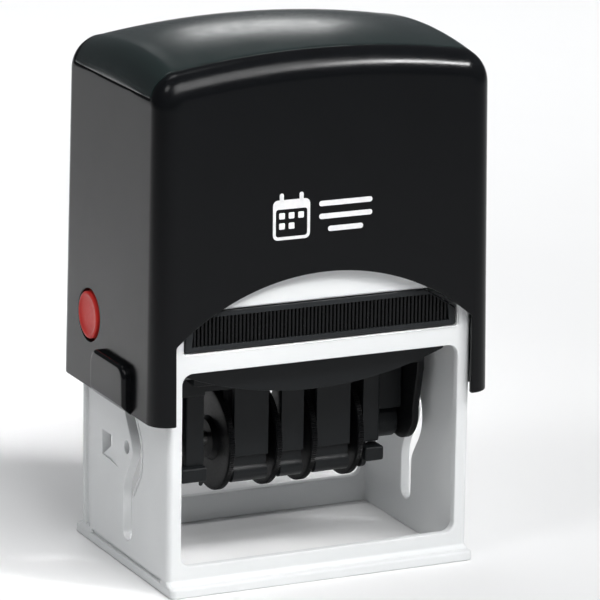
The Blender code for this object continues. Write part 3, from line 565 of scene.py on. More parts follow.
def slot_sides(side, half, low, high, steps=48):
    """The rear and front edges of one wall's slot path, widened to half each way."""
    rear, front = [], []
    for i in range(steps + 1):
        z = low + (high - low) * i / steps
        slope = (slot_centre(side, z + 0.01) - slot_centre(side, z - 0.01)) / 0.02
        away = half * math.sqrt(1.0 + slope * slope)
        rear.append((slot_centre(side, z) + away, z))
        front.append((slot_centre(side, z) - away, z))
    return rear, front


def cam_slot_outline(side):
    half = SLOT_WIDTH / 2
    rear, front = slot_sides(side, half, SLOT_FOOT_Z, SLOT_TOP_Z)
    foot = arc((slot_centre(side, SLOT_FOOT_Z), SLOT_FOOT_Z), half, 180, 360, 16)[1:-1]
    head = arc((slot_centre(side, SLOT_TOP_Z), SLOT_TOP_Z), half, 0, 180, 16)[1:-1]
    return rear + head + front[::-1] + foot


def slot_rim(side):
    """The thin raised line that follows the slot's front edge on the outer wall."""
    inner = slot_sides(side, SLOT_WIDTH / 2 + RIM_NEAR, RIM_LOW_Z, SLOT_TOP_Z)[1]
    outer = slot_sides(side, SLOT_WIDTH / 2 + RIM_FAR, RIM_LOW_Z, SLOT_TOP_Z)[1]
    low, high = sorted((side * (FRAME_X - RIM_ROOT), side * (FRAME_X + RIM_PROUD)))
    return extruded([inner + outer[::-1]], X, low, high)


def foot_flange():
    """The foot: a low plate whose upper edge slopes up into the walls."""
    rings = []
    insets = ((0.01, 0.38), (0.12, 0.13), (0.35, 0.03), (1.7, 0.03), (2.0, 0.11), (2.2, 0.28), (2.35, 0.53))
    for z, inset in insets:
        x, y = FLANGE_X - inset, FLANGE_Y - inset
        outline = rounded_rectangle(-x, -y, x, y, FLANGE_CORNER)
        rings.append([(u, v, z) for u, v in outline])
    return lofted(rings)


def foot_slope():
    """The sloping fillet between the foot and the walls."""
    rings = []
    run_x, run_y = FRAME_X + 0.25, FRAME_Y + 1.3
    for z, x, y in ((1.5, run_x, run_y), (2.3, run_x, run_y), (FLANGE_TOP, FRAME_X, FRAME_Y)):
        outline = rounded_rectangle(-x, -y, x, y, FRAME_CORNER)
        rings.append([(u, v, z) for u, v in outline])
    return lofted(rings)


def base_frame(material):
    walls = rounded_rectangle(-FRAME_X, -FRAME_Y, FRAME_X, FRAME_Y, FRAME_CORNER)
    body = extruded([walls], Z, 0.2, FRAME_TOP)
    join(body, foot_flange(), foot_slope())
    far = FLANGE_Y + 5
    out, within = -FRAME_X - 1, -WALL_INNER_X + 1
    lock_hole = [
        (LOCK_FRONT_Y, LOCK_FRONT_LOW),
        (LOCK_REAR_Y, LOCK_REAR_LOW),
        (LOCK_REAR_Y, LOCK_TOP),
        (LOCK_FRONT_Y, LOCK_TOP),
    ]
    window = rounded_rectangle(-WINDOW_X, WINDOW_LOW, WINDOW_X, WINDOW_HIGH, WINDOW_CORNER)
    cut(
        body,
        *[
            block((-WALL_INNER_X, -WALL_INNER_Y, low), (WALL_INNER_X, WALL_INNER_Y, high), 0.3, Z)
            for low, high in ((-1, PAD_ROOF), (DECK_TOP, FRAME_TOP + 1))
        ],
        extruded([window], Y, -far, far),
        block((-BAY_X, -far, PAD_FLOOR), (BAY_X, far, PAD_ROOF), 0.5, Y),
        extruded([cam_slot_outline(-1)], X, -FRAME_X - 5, -FRAME_X / 2),
        extruded([cam_slot_outline(1)], X, FRAME_X / 2, FRAME_X + 5),
        *twin_blocks(
            (LEG_INNER_X - LEG_ROOM, LEG_FRONT_Y - LEG_ROOM, PAD_ROOF - 1),
            (WALL_INNER_X, LEG_BACK_Y + LEG_ROOM, DECK_TOP + 1),
        ),
        *twin_blocks(
            (FRAME_X - GROOVE_DEPTH, GROOVE_LOW_Y, FLANGE_TOP), (FRAME_X + 1, GROOVE_HIGH_Y, FRAME_TOP + 1)
        ),
        extruded([lock_hole], X, out, within),
        lock_ramp(),
        *twin_blocks(
            (FRAME_X - FOOT_RECESS, FOOT_RECESS_LOW_Y, FOOT_BAND),
            (FRAME_X + 1, FOOT_RECESS_HIGH_Y, FOOT_RECESS_HIGH),
        ),
        rod(X, SIGHT_RADIUS, out, within, (SIGHT_Y, SIGHT_Z), 32),
    )
    soften(body, 0.3, 30.0, 3, broad_enough)
    posts = [
        rod(Z, POST_RADIUS, DECK_TOP - 0.5, POST_TOP, (side * SPRING_X, SPRING_Y), 32, 0.5)
        for side in (-1, 1)
    ]
    join(body, *posts, slot_rim(-1), slot_rim(1))
    return dress(shade(body), "frame_shell", "base", "frame_white", material, "base_frame")


def broad_enough(edge):
    """Whether an edge is clear of the foot's recess and the lock ramp, which are too fine to round."""
    x, y, z = (edge.verts[0].co + edge.verts[1].co) / 2 / MM
    in_recess = abs(x) > FRAME_X - FOOT_RECESS - 0.1 and FOOT_BAND - 0.1 < z < FOOT_RECESS_HIGH + 0.2
    in_ramp = x < 0.4 - FRAME_X and 1.0 < y < LOCK_REAR_Y + 0.1 and LOCK_REAR_LOW - 1 < z < LOCK_TOP + 0.3
    return not in_recess and not in_ramp


def lock_ramp():
    """The shallow ramp that guides the lock peg into the lock hole."""
    out, deep, shallow = -FRAME_X - 1, -FRAME_X + 0.35, -FRAME_X - 0.05
    top = LOCK_TOP + 0.1
    rings = []
    for low, y, x in (
        (LOCK_REAR_LOW - 0.1, LOCK_REAR_Y + 0.02, deep),
        (LOCK_REAR_LOW - 0.3, LOCK_FRONT_Y, deep),
        (LOCK_REAR_LOW - 0.8, SIGHT_Y + 3.4, shallow),
    ):
        rings.append([(out, y, low), (out, y, top), (x, y, top), (x, y, low)])
    return lofted(rings)


# ---------------------------------------------------------------- ink pad


def cutout_arch(clearance, steps=40):
    """The arch over the cover's cut-out, lowered by a clearance, as points in X and Z."""
    rise = CUTOUT_TOP - CUTOUT_SPRING_Z
    radius = (CUTOUT_X**2 + rise**2) / (2 * rise)
    half = math.degrees(math.asin(CUTOUT_X / radius))
    return arc((0, CUTOUT_TOP - clearance - radius), radius, 90 - half, 90 + half, steps)


def ink_pad_tray(material, rib_painted_shade_material):
    """The drawer that holds the felt. Its front is a shallow frame round a row of upright ribs."""
    low, high = reach("ink_pad_tray", LOW, Z), reach("ink_pad_tray", HIGH, Z)
    front = reach("ink_pad_tray", LOW, Y)
    half = reach("ink_pad_tray", HIGH, X)
    rear = reach("ink_pad_tray", HIGH, Y)
    felt_x, felt_y = reach("ink_pad_felt", HIGH, X), reach("ink_pad_felt", HIGH, Y)
    felt_top = reach("ink_pad_felt", HIGH, Z)
    rim_low, rim_high, depth, window_x = low + 1.25, high - PAD_RIM, 1.15, 31.6
    tray = block((-half, front, low), (half, front + TRAY_FRONT, high))
    narrow = half - TRAY_STEP
    join(tray, block((-narrow, front + TRAY_FRONT - 1, low), (narrow, rear, high)))
    arch = cutout_arch(TRAY_ARCH_GAP)
    keep_inside(tray, extruded([[(CUTOUT_X, low - 5), *arch, (-CUTOUT_X, low - 5)]], Y, -FAR, FAR))
    room_x, room_y = felt_x + GAP, felt_y + GAP
    cut(tray, block((-room_x, -room_y, low - 1), (room_x, room_y, felt_top + GAP)))
    soften(tray, 0.35, 30.0, 3)
    opening = [(window_x, rim_low), *pad_window(rim_high, window_x), (-window_x, rim_low)]
    cut(tray, extruded([opening], Y, front - 1, front + depth))
    dress(shade(tray), "ink_pad_drawer", "ink_pad", "tray_black", material, "ink_pad_tray")
    pitch, width, count = 0.92, 0.6, 68
    start = -pitch * (count - 1) / 2
    ribs = block(
        (start - width / 2, front + 0.3, rim_low - 0.2),
        (start + width / 2, front + depth + 0.2, rim_high + 0.2),
        0.18,
        Z,
    )
    row = ribs.modifiers.new("row", "ARRAY")
    row.count = count
    row.use_relative_offset = False
    row.use_constant_offset = True
    row.constant_offset_displace = (pitch * MM, 0, 0)
    reach_x = window_x + 0.2
    limit = [(reach_x, rim_low - 0.1), *pad_window(rim_high + 0.1, reach_x), (-reach_x, rim_low - 0.1)]
    keep_inside(ribs, extruded([limit], Y, -FAR, FAR))
    # The ribs get a darker copy of the tray plastic, which is painted shade between the ribs.
    return dress(shade(ribs), "ink_pad_ribs", "ink_pad", "tray_black", rib_painted_shade_material)


def pad_window(top, half):
    """The arched upper edge of the ribbed face, inside the tray's own arch."""
    return [(x, min(z, top)) for x, z in cutout_arch(PAD_RIM, 160) if abs(x) < half]


def ink_pad_felt(material):
    """A felt block with worn, rounded edges."""
    low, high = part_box("ink_pad_felt")
    felt = block(low / MM, high / MM, 0.9, segments=4)
    return dress(shade(felt), "felt_block", "ink_pad", "felt_ink", material, "ink_pad_felt")


# ---------------------------------------------------------------- cover


def crowned_block(inset, roll, foot, fine=True, face_inset=None):
    """The cover's outer form moved inwards: a drafted box with rolled edges and a top crowned both ways.

    The side rolls turn short of a quarter circle, to where the crown's own slope takes over.
    """
    side, top = COVER_X - inset, COVER_EDGE_TOP - inset
    face = COVER_Y - (inset if face_inset is None else face_inset)
    corner = max(SIDE_ROLL - inset, LEAST_ROLL)
    shoulder = side - DRAFT * (top - COVER_BOTTOM)
    reach_x = shoulder - corner
    drop = CROWN_RADIUS - math.sqrt(CROWN_RADIUS**2 - reach_x**2)
    roll_steps, crown_steps, bevel_steps, rows = (14, 16, 10, 17) if fine else (8, 12, 4, 7)
    right = [(side + DRAFT * (COVER_BOTTOM - foot), foot)]
    right += arc((reach_x, top - drop - corner), corner, 0, SIDE_ROLL_TURN, roll_steps)
    crown = [
        (x, top - CROWN_RADIUS + math.sqrt(CROWN_RADIUS**2 - x * x))
        for x in [reach_x * (1 - i / crown_steps) for i in range(0, 2 * crown_steps + 1)]
    ]
    left = [(-x, z) for x, z in right[::-1]]
    form = extruded([right + crown + left], Y, -face, face)
    bm = bmesh_of(form)
    bpy.data.objects.remove(form)
    edges = [e for e in bm.edges if all(abs(abs(v.co.y) - face * MM) < 1e-7 for v in e.verts)]
    edges = [e for e in edges if len({abs(f.normal.y) > 0.5 for f in e.link_faces}) == 2]
    bmesh.ops.bevel(
        bm,
        geom=edges,
        offset=roll * MM,
        segments=bevel_steps,
        profile=0.5,
        affect="EDGES",
        clamp_overlap=False,
    )
    flat = face - roll
    for i in range(rows):
        row = flat * (2 * (i + 0.5) / rows - 1)
        bmesh.ops.bisect_plane(
            bm, geom=bm.verts[:] + bm.edges[:] + bm.faces[:], plane_co=(0, row * MM, 0), plane_no=(0, 1, 0)
        )
    for vertex in bm.verts:
        across = vertex.co.y / MM / COVER_Y
        share = min(max((vertex.co.z / MM - CROWN_FOOT) / (top - CROWN_FOOT), 0.0), 1.0)
        vertex.co.y *= 1.0 - DRAFT * (vertex.co.z / MM - COVER_BOTTOM) / COVER_Y
        vertex.co.z += CROWN_RISE * (1.0 - across * across) * share * MM
    return object_of(bm, "form")


def below(z):
    """A block that cuts away, or keeps, everything under a height."""
    return block((-FAR, -FAR, UNDER), (FAR, FAR, z))


def cover_shell(material):
    shell = crowned_block(0.0, FACE_ROLL, COVER_BOTTOM - 20)
    saddle = block((-FAR, -CAP_Y - CAP_GAP_Y, CAP_BOTTOM - CAP_GAP_Z), (FAR, CAP_Y + CAP_GAP_Y, OVER))
    cut(saddle, crowned_block(CAP_WALL + GAP, 0.5, COVER_BOTTOM - 20, False))
    wide_room = crowned_block(COVER_WALL, ROOF_CORNER, COVER_BOTTOM - 25, False, FACE_WALL)
    keep_inside(wide_room, below(CAP_BOTTOM - COVER_WALL))
    roof_inset = CAP_WALL + GAP + COVER_WALL
    deep_room = crowned_block(roof_inset, LEAST_ROLL, COVER_BOTTOM - 25, False, FACE_WALL + ROOF_CORNER)
    cut(shell, below(COVER_BOTTOM), saddle, wide_room, deep_room)
    ribs = twin_blocks(
        (FRAME_X - GROOVE_DEPTH + GAP, GROOVE_LOW_Y + GAP, RIB_LOW),
        (COVER_X - RIB_BURIED, GROOVE_HIGH_Y - GAP, CAP_BOTTOM - 6),
    )
    seats = [
        rod(Z, radius, low, SEAT_HIGH, (side * SPRING_X, SPRING_Y), 24)
        for side in (-1, 1)
        for radius, low in ((SEAT_RADIUS, SEAT_LOW), (SEAT_COLLAR, SEAT_COLLAR_LOW))
    ]
    join(shell, *ribs, *seats)
    arch = [(CUTOUT_X, COVER_BOTTOM - 5), *cutout_arch(0.0), (-CUTOUT_X, COVER_BOTTOM - 5)]
    hole = BUTTON_RADIUS + BUTTON_RING
    cut(
        shell,
        extruded([arch], Y, -FAR, FAR),
        rod(X, hole, -FAR, 4 - COVER_X, (BUTTON_Y, BUTTON_Z), 64),
    )
    soften(shell, 0.35, 34.0, 3)
    join(shell, finger_bump(-1), finger_bump(1))
    return dress(shade(shell), "cover_case", "cover", "cover_black", material, "cover_shell")


def finger_bump(side):
    """A finger block at the foot of one side of the cover: a flat face whose edges roll into the side."""
    rings = []
    rise = (BUMP_FOOT - COVER_BOTTOM) / (BUMP_X - COVER_X)
    for x, inset in [(COVER_X - 1.0, 0.0), (COVER_X, 0.0), (BUMP_X - BUMP_ROLL, 0.0)] + [
        (BUMP_X - BUMP_ROLL * (1 - math.sin(math.radians(a))), BUMP_ROLL * (1 - math.cos(math.radians(a))))
        for a in (15, 30, 45, 60, 75, 90)
    ]:
        low_y, high_y, top = BUMP_LOW_Y + inset, BUMP_HIGH_Y - inset, BUMP_TOP - inset
        radius = BUMP_CORNER - inset * 0.4
        foot = COVER_BOTTOM + 0.02 + max(x - COVER_X, 0.0) * rise + inset * 0.3
        outline = arc((high_y - radius, top - radius), radius, 0, 90, 8)
        outline += arc((low_y + radius, top - radius), radius, 90, 180, 8)
        outline += [(low_y, foot), (high_y, foot)]
        rings.append([(side * x, y, z) for y, z in outline])
    return lofted(rings)


def index_cap(material):
    cap = crowned_block(0.0, FACE_ROLL, COVER_BOTTOM - 20)
    keep_inside(cap, block((-FAR, -CAP_Y, CAP_BOTTOM), (FAR, CAP_Y, OVER)))
    cut(cap, crowned_block(CAP_WALL, 0.5, COVER_BOTTOM - 20, False))
    soften(cap, 0.2, 34.0, 2)
    return dress(shade(cap), "index_window", "index_cap", "cap_smoked", material, "index_cap")


def lock_button(material):
    """The lock button: a shallow dished face inside a rounded rim, with a retaining collar behind."""
    face = reach("lock_button", LOW, X)
    back = reach("lock_button", HIGH, X)
    r = BUTTON_RADIUS
    profile = [(face + 0.45, 0.05), (face + 0.42, 2.5), (face + 0.3, 4.0), (face + 0.08, r - 0.9)]
    profile += [(face, r - 0.6)]
    profile += [(face + 0.03, r - 0.35), (face + 0.14, r - 0.12), (face + 0.35, r)]
    collar = reach("lock_button", HIGH, Y) - BUTTON_Y
    profile += [(back - 0.7, r), (back - 0.7, collar - 0.1), (back - 0.6, collar), (back, collar)]
    button = turned(X, (BUTTON_Y, BUTTON_Z), profile, 72)
    return dress(shade(button), "button_red", "lock_button", "button_red", material, "lock_button")


def printed_mark(material):
    """A generic pictogram printed on the cover's front: a calendar page beside three plain bars."""
    lift, film = 0.02, 0.1
    centre_z = 84.0

    def patch(u, v, width, height, radius=0.4):
        return rounded_rectangle(u - width / 2, v - height / 2, u + width / 2, v + height / 2, radius, 4)

    page = (-9.0, centre_z)
    loops = [[patch(page[0], page[1], 9.0, 9.0, 1.2), patch(page[0], page[1] - 0.7, 7.6, 6.2, 0.6)]]
    loops += [[patch(page[0] + u, page[1] + 5.0, 1.0, 2.0, 0.45)] for u in (-2.4, 2.4)]
    loops += [
        [patch(page[0] + 2.3 * (column - 1), page[1] + 0.9 - 2.3 * row, 1.4, 1.4, 0.25)]
        for row in range(2)
        for column in range(3)
        if (row, column) != (1, 2)
    ]
    widths = (13.0, 13.0, 8.6)
    loops += [[patch(4.2, centre_z + 2.9 - 2.9 * i, width, 1.2, 0.55)] for i, width in enumerate(widths)]
    marks = [extruded(loop, Y, -film / 2, film / 2) for loop in loops]
    bm = bmesh.new()
    for mark in marks:
        bm.from_mesh(mark.data)
        bpy.data.objects.remove(mark)
    for vertex in bm.verts:
        z = vertex.co.z / MM
        outer = COVER_Y - DRAFT * (z - COVER_BOTTOM)
        vertex.co.y = -(outer + lift if vertex.co.y < 0 else outer - film) * MM
    return dress(object_of(bm, "mark"), "printed_pictogram", "cover", "frame_white", material)


# ---------------------------------------------------------------- hub


def band_windows(piece, low, high):
    half = BAND_WINDOW_Y[piece]
    return [block((start, -half, low), (end, half, high)) for start, end in BAND_WINDOWS]


def plate_carrier(material):
    """The deck under the text plate, between two half-moon skirts that rise round the plate's edges."""
    half = math.degrees(math.asin(SKIRT_X / SKIRT_ARC))
    moon = arc((0, SKIRT_LOW + SKIRT_ARC), SKIRT_ARC, 270 - half, 270 + half, 72)
    moon += [(SKIRT_X, SKIRT_HIGH), (-SKIRT_X, SKIRT_HIGH)]
    carrier = block((-DECK_X, -DECK_Y, DECK_LOW), (DECK_X, DECK_Y, DECK_HIGH), 0.6, Y)
    join(
        carrier,
        *[extruded([moon], Y, start, end) for start, end in mirrored(DECK_Y - 1, SKIRT_Y)],
    )
    rim_y = SKIRT_Y - SKIRT_RIM
    cut(
        carrier,
        block((-SKIRT_X - 1, -rim_y, DECK_HIGH), (SKIRT_X + 1, rim_y, SKIRT_HIGH + 1)),
        *band_windows("carrier", DECK_LOW - 5, DECK_HIGH + 1),
    )
    soften(carrier, 0.16, 40.0, 2)
    return dress(shade(carrier), "half_moon_carrier", "hub", "hub_black", material, "plate_carrier")


def hub_body(material):
    """The housing: slotted panels over a dark groove and a rounded lip, with feet at its ends."""
    shaft, axis = (0.0, SHAFT_Z), (0.0, HUB_AXIS_Z)
    body = block(
        (HOUSING_LEFT, -HOUSING_Y, WHEEL_SLOT_TOP - 1), (HOUSING_RIGHT, HOUSING_Y, HOUSING_HIGH), PANEL_EDGE
    )
    panels = block((FIRST_SLOT_X, -HOUSING_Y, PANEL_LOW), (HOUSING_RIGHT, HOUSING_Y, HOUSING_HIGH - 1), 0.6)
    end_panel = block(
        (END_PANEL_LEFT, -END_PANEL_Y, FOOT_LOW_Z + 1), (END_PANEL_RIGHT, END_PANEL_Y, HOUSING_HIGH - 1), 0.5
    )
    ears = [
        block((start, -EAR_Y, EAR_LOW), (end, EAR_Y, HOUSING_HIGH), 0.3)
        for start, end in ((GAP - SIDE_INNER_X, HOUSING_LEFT + 3), (HOUSING_RIGHT - 1, SIDE_INNER_X - GAP))
    ]
    lips = [
        rod(X, LIP_RADIUS, LIP_LEFT, LIP_RIGHT, (side * LIP_Y, LIP_Z), 40, 0.3) for side in (-1, 1)
    ]
    webs = [
        block((LIP_LEFT, low_y, LIP_Z), (LIP_RIGHT, high_y, PANEL_LOW + 2))
        for low_y, high_y in mirrored(GROOVE_WEB_LOW_Y, GROOVE_WEB_HIGH_Y)
    ]
    feet = [
        block((start, low_y, FOOT_LOW_Z), (end, high_y, FOOT_HIGH_Z), 0.6)
        for start, end in FOOT_SPANS
        for low_y, high_y in mirrored(FOOT_LOW_Y, FOOT_HIGH_Y)
    ]
    collar = rod(X, SHAFT_COLLAR, HOUSING_RIGHT - 1, SIDE_INNER_X - GAP, shaft, 48, 0.3)
    join(body, panels, end_panel, *ears, *lips, *webs, *feet, collar)
    left, right, side = HOUSING_LEFT + HOUSING_WALL, HOUSING_RIGHT - HOUSING_WALL, HOUSING_Y - HOUSING_WALL
    room = block((FIRST_SLOT_X - 0.1, -side, PANEL_LOW + 0.5), (right, side, HOUSING_HIGH - HOUSING_WALL))
    neck = block((left, -NECK_Y, FOOT_LOW_Z - 5), (right, NECK_Y, HOUSING_HIGH - HOUSING_WALL))
    starts = (FIRST_SLOT_X, *[x - WHEEL_SLOT / 2 for x in WHEEL_X[1:]])
    bore, pin_room = SHAFT_RADIUS + BORE_GAP, PIVOT_RADIUS + 0.6
    cut(
        body,
        room,
        neck,
        *band_windows("housing", HOUSING_HIGH - 5, HOUSING_HIGH + 1),
        *[
            block((start, -FAR, FOOT_LOW_Z - 5), (x + WHEEL_SLOT / 2, FAR, WHEEL_SLOT_TOP))
            for x, start in zip(WHEEL_X, starts)
        ],
        rod(X, bore, -FAR, FAR, shaft),
        rod(X, pin_room, -FAR, HOUSING_LEFT + 0.1, axis),
        rod(X, pin_room, SIDE_INNER_X - 3, FAR, axis),
    )
    return dress(shade(body), "hub_housing", "hub", "hub_black", material, "hub_body")


def hub_sides(material):
    """The end plates that carry the hub's pivot and the wheel shaft, each with a moulded cam stub."""
    for side, name in ((-1, "hub_side_left"), (1, "hub_side_right")):
        outline = [(SIDE_Y, SIDE_TOP), (-SIDE_Y, SIDE_TOP), (-SIDE_Y, SIDE_SHOULDER)]
        outline += arc((LUG_Y, LUG_Z), LUG_RADIUS, 170, 370, 48)
        outline += [(SIDE_Y, SIDE_SHOULDER)]
        low, high = sorted((side * SIDE_INNER_X, side * SIDE_OUTER_X))
        plate = soften(extruded([outline], X, low, high), 0.35, 30.0, 3)
        inner, outer = sorted((side * (SIDE_INNER_X + 0.5), side * CAM_REACH_X))
        join(plate, rod(X, CAM_RADIUS, inner, outer, (0.0, HUB_AXIS_Z + CAM_OFFSET), 40, 0.3))
        bores = ((PIVOT_RADIUS + BORE_GAP, HUB_AXIS_Z), (SHAFT_RADIUS + BORE_GAP, SHAFT_Z))
        cut(plate, *[rod(X, radius, -FAR, FAR, (0.0, z)) for radius, z in bores])
        dress(shade(plate), f"{name}_plate", "hub", "hub_black", material, name)


def date_wheels(material):
    """Thumb wheels: a narrow knurled rim on the right of a dished disc, and a pulley for the band."""
    for number, (x, band) in enumerate(zip(WHEEL_X, BAND_X), 1):
        left, right = x - WHEEL_WIDTH / 2, x + WHEEL_WIDTH / 2
        bore, rim, root = SHAFT_RADIUS + BORE_GAP, WHEEL_RADIUS, WHEEL_RADIUS - TOOTH_DEPTH
        knurl = [(right - 0.12, root - 0.1), (right, root - 0.35)]
        profile = [(left, bore), (left, 4.4), (x - 0.1, 5.2), (x - 0.1, 9.6), (x - 0.35, root - 0.5)]
        profile += [(x - 0.3, root - 0.15), (x - 0.12, rim), (right - 0.2, rim), *knurl]
        profile += [(right, rim - 1.5), (right - 0.35, rim - 1.9), (right - 0.35, bore)]
        wheel = knurled(profile, root)
        low, high = sorted((x + 0.2, band + math.copysign(PULLEY_HALF, band - x)))
        pulley = rod(X, PULLEY_RADIUS, low, high, (0.0, SHAFT_Z), 64, 0.2)
        cut(pulley, rod(X, bore, -FAR, FAR, (0.0, SHAFT_Z), 48))
        join(wheel, pulley)
        node = f"date_wheel_{number}"
        dress(shade(wheel), f"thumb_wheel_{number}", node, "wheel_black", material, node)


def knurled(profile, root):
    """A ring turned about the wheel shaft, with fine teeth where the profile stands above root."""
    rings = []
    steps = WHEEL_TEETH * 4
    for i in range(steps):
        angle = 2 * math.pi * i / steps
        valley = i % 4 in (2, 3)
        ring = []
        for along, radius in profile:
            near = min(radius, root) if valley else radius
            ring.append((along, near * math.cos(angle), SHAFT_Z + near * math.sin(angle)))
        rings.append(ring)
    return lofted(rings, closed=True)


def belt_outline(extra):
    """The path round the wheel's pulley and the anvil, grown by extra, in Y and Z."""
    foot, head = BAND_FOOT_RADIUS + extra, BAND_HEAD_RADIUS + extra
    lean = math.degrees(math.asin((foot - head) / (BAND_HEAD_Z - SHAFT_Z)))
    bottom = arc((0, SHAFT_Z), foot, 180 - lean, 360 + lean, 48)
    return bottom + arc((0, BAND_HEAD_Z), head, lean, 180 - lean, 24)


def date_bands(material):
    """Rubber bands with a row of blank raised pads where a date band carries its characters."""
    pad_root, pad_height, pad_length, pad_width, pads = 0.15, 0.3, 1.9, 2.7, 21
    for number, x in enumerate(BAND_X, 1):
        half = BAND_WIDTH / 2
        belt = extruded([belt_outline(BAND_WALL - pad_height), belt_outline(0.0)], X, x - half, x + half)
        path = [Vector(point) for point in belt_outline(BAND_WALL - pad_height)]
        path.append(path[0])
        lengths = [(b - a).length for a, b in zip(path, path[1:])]
        total = sum(lengths)
        raised = []
        for i in range(pads):
            start = walk(path, lengths, total * i / pads)
            end = walk(path, lengths, total * i / pads + pad_length)
            along = (end - start).normalized()
            out = Vector((along.y, -along.x))
            root, face = -out * pad_root, out * pad_height
            corners = [start + root, end + root, end + face, start + face]
            raised.append(extruded([[tuple(c) for c in corners]], X, x - pad_width / 2, x + pad_width / 2))
        join(belt, *raised)
        dress(shade(belt), f"band_loop_{number}", "hub", "band_rubber", material, f"date_band_{number}")


def walk(path, lengths, distance):
    """The point at a distance along a closed path."""
    distance %= sum(lengths)
    for a, b, length in zip(path, path[1:], lengths):
        if distance <= length:
            return a + (b - a) * (distance / length)
        distance -= length
    return path[-1]


def text_plate(material):
    """The rubber plate, with a generic raised border and plain bars round the openings for the bands."""
    low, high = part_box("text_plate")
    low, high = low / MM, high / MM
    depth = 0.5
    plate = block(tuple(low), (high.x, high.y, high.z - depth), 0.35, Z)
    tops = (high.z - depth - 0.2, high.z)
    outer = rounded_rectangle(low.x + 1.2, low.y + 1.2, high.x - 1.2, high.y - 1.2, 2.0)
    inner = rounded_rectangle(low.x + 2.2, low.y + 2.2, high.x - 2.2, high.y - 2.2, 1.3)
    raised = [extruded([outer, inner], Z, *tops)]
    for y, half in ((-14.5, 22.0), (-10.8, 22.0), (-7.1, 14.0), (7.1, 14.0), (10.8, 22.0), (14.5, 22.0)):
        raised.append(extruded([rounded_rectangle(-half, y - 0.8, half, y + 0.8, 0.5)], Z, *tops))
    join(plate, *raised)
    cut(plate, *band_windows("plate", low.z - 1, high.z + 1))
    return dress(shade(plate), "rubber_plate", "hub", "plate_rubber", material, "text_plate")


def return_springs(material):
    """Coiled wire between the frame's deck and the cover's roof, built at one length, though the real spring
    squashes as the cover goes down.
    """
    points_a_turn = 32
    count = SPRING_TURNS * points_a_turn
    for side, name in ((-1, "return_spring_left"), (1, "return_spring_right")):
        curve = bpy.data.curves.new(name, "CURVE")
        curve.dimensions = "3D"
        curve.bevel_depth = SPRING_WIRE
        curve.bevel_resolution = 5
        curve.use_fill_caps = True
        spline = curve.splines.new("POLY")
        spline.points.add(count)
        for i, point in enumerate(spline.points):
            angle = 2 * math.pi * i / points_a_turn
            place = (
                side * SPRING_X + SPRING_RADIUS * math.cos(angle),
                SPRING_Y + SPRING_RADIUS * math.sin(angle),
                SPRING_LOW + (SPRING_HIGH - SPRING_LOW) * i / count,
            )
            point.co = (*place, 1.0)
        coil = shade(object_from(mesh_of_curve(linked(name, curve))))
        dress(coil, f"coil_{name}", "base", "steel", material, name)
        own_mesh(coil)


# ---------------------------------------------------------------- stage, lights and camera


def stage_floor():
    """A wide pale floor, which is set dressing and no part of the stamp."""
    bm = bmesh.new()
    bmesh.ops.create_grid(bm, x_segments=1, y_segments=1, size=6.0)
    floor = object_of(bm, "floor")
    recipe = Recipe("pale_floor", (0.9, 0.9, 0.9), 0.7)
    recipe.mottle(60.0, (0.93, 0.93, 0.93), (0.95, 0.95, 0.95))
    floor.data.materials.append(recipe.material)


def softbox(name, place, aim, size, watts, spread):
    """A rectangular light, unseen by the camera, whose spread says how wide a cone it fills."""
    light = bpy.data.lights.new(name, "AREA")
    light.shape = "RECTANGLE"
    light.size, light.size_y = size
    light.energy = watts
    light.spread = math.radians(spread)
    thing = linked(name, light)
    thing.location = place
    thing.rotation_euler = (Vector(aim) - Vector(place)).to_track_quat("-Z", "Y").to_euler()
    thing.visible_camera = False


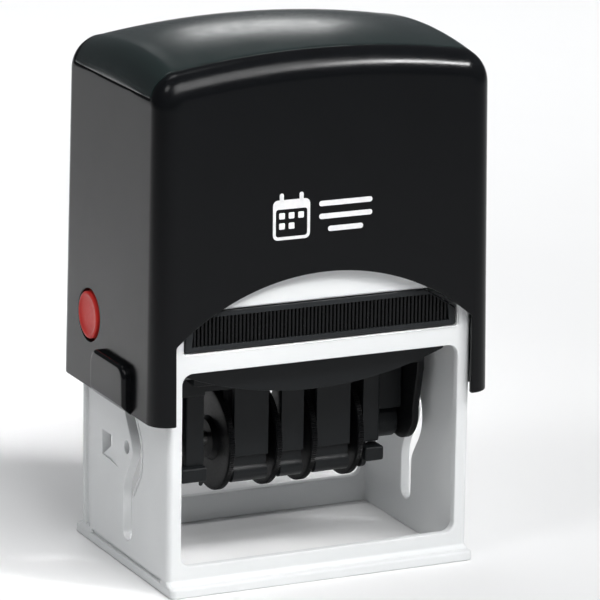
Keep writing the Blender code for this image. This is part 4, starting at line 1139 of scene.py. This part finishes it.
def studio():
    """A dim cool sky and five softboxes, as in a white-background product shot."""
    world = bpy.data.worlds.new("studio")
    bpy.context.scene.world = world
    world.use_nodes = True
    background = world.node_tree.nodes["Background"]
    background.inputs["Color"].default_value = (0.9, 0.94, 1.0, 1.0)
    background.inputs["Strength"].default_value = 0.14
    middle = (0.0, 0.0, 0.06)
    softbox("front_key", (0.12, -0.72, 1.0), middle, (0.9, 0.6), 3.25, 85.0)
    softbox("left_fill", (-0.72, -0.3, 1.1), middle, (0.3, 0.3), 0.25, 60.0)
    softbox("backdrop", (0.1, 0.9, 1.3), (0.1, 0.75, 0.0), (1.6, 1.1), 4.0, 42.0)
    softbox("roll_band", (0.47, -0.49, 0.73), (0.0, -0.02, 0.18), (0.36, 0.18), 0.2, 14.0)
    softbox("cap_strip", (0.475, 1.05, 0.52), (0.0, 0.0, 0.12), (0.2, 0.24), 0.15, 120.0)
    bpy.context.scene.view_settings.view_transform = "Standard"


def camera():
    """A long lens, in front, to the left and above, as the reference view has it."""
    azimuth, elevation, roll = math.radians(25.154), math.radians(14.72), math.radians(0.79)
    distance = 1.02515
    target = Vector((0.0, 0.0, 0.060))
    level = math.cos(elevation)
    back = Vector((-math.sin(azimuth) * level, -math.cos(azimuth) * level, math.sin(elevation)))
    lens = bpy.data.cameras.new("camera")
    lens.sensor_width = 36.0
    lens.lens = 271.5
    lens.shift_x, lens.shift_y = 0.0406, -0.0126
    lens.clip_start, lens.clip_end = 0.05, 50.0
    thing = linked("camera", lens)
    thing.location = target + back * distance
    turn = (-back).to_track_quat("-Z", "Y") @ Matrix.Rotation(roll, 3, "Z").to_quaternion()
    thing.rotation_euler = turn.to_euler()
    bpy.context.scene.camera = thing


BLACK = matt_black("matt_black_plastic", (0.0062, 0.0072, 0.008), 0.42)
base_frame(white_frame())
ink_pad_tray(
    matt_black("tray_plastic", (0.014, 0.0155, 0.017), 0.4),
    # A darker copy of the tray plastic for the ribs: painted shade between the ribs.
    matt_black("rib_plastic_painted_shade", (0.0028, 0.003, 0.0034), 0.3),
)
ink_pad_felt(ink_felt())
cover_shell(glossy_cover())
index_cap(smoked_cap())
lock_button(red_button())
printed_mark(print_ink())
plate_carrier(BLACK)
hub_body(BLACK)
hub_sides(matt_black("side_plastic", (0.0035, 0.0038, 0.0042), 0.45))
date_wheels(matt_black("wheel_plastic", (0.0024, 0.0026, 0.003), 0.34, 1.22))
date_bands(rubber("band_rubber", (0.02, 0.02, 0.021), 0.3))
text_plate(rubber("stamp_rubber", (0.30, 0.10, 0.055), 0.3))
return_springs(steel("spring_steel", Z))

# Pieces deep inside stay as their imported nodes, and only get a material
carried = {
    "band_anvil": BLACK,
    "drive_yoke": BLACK,
    "plate_cushion": foam(),
    "wheel_shaft": steel("shaft_steel", X),
    "pivot_pin_left": steel("pin_steel", X),
}
carried["pivot_pin_right"] = carried["pivot_pin_left"]
for node, material in carried.items():
    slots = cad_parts[node].data.materials
    slots.clear()
    slots.append(material)

stage_floor()
studio()
camera()
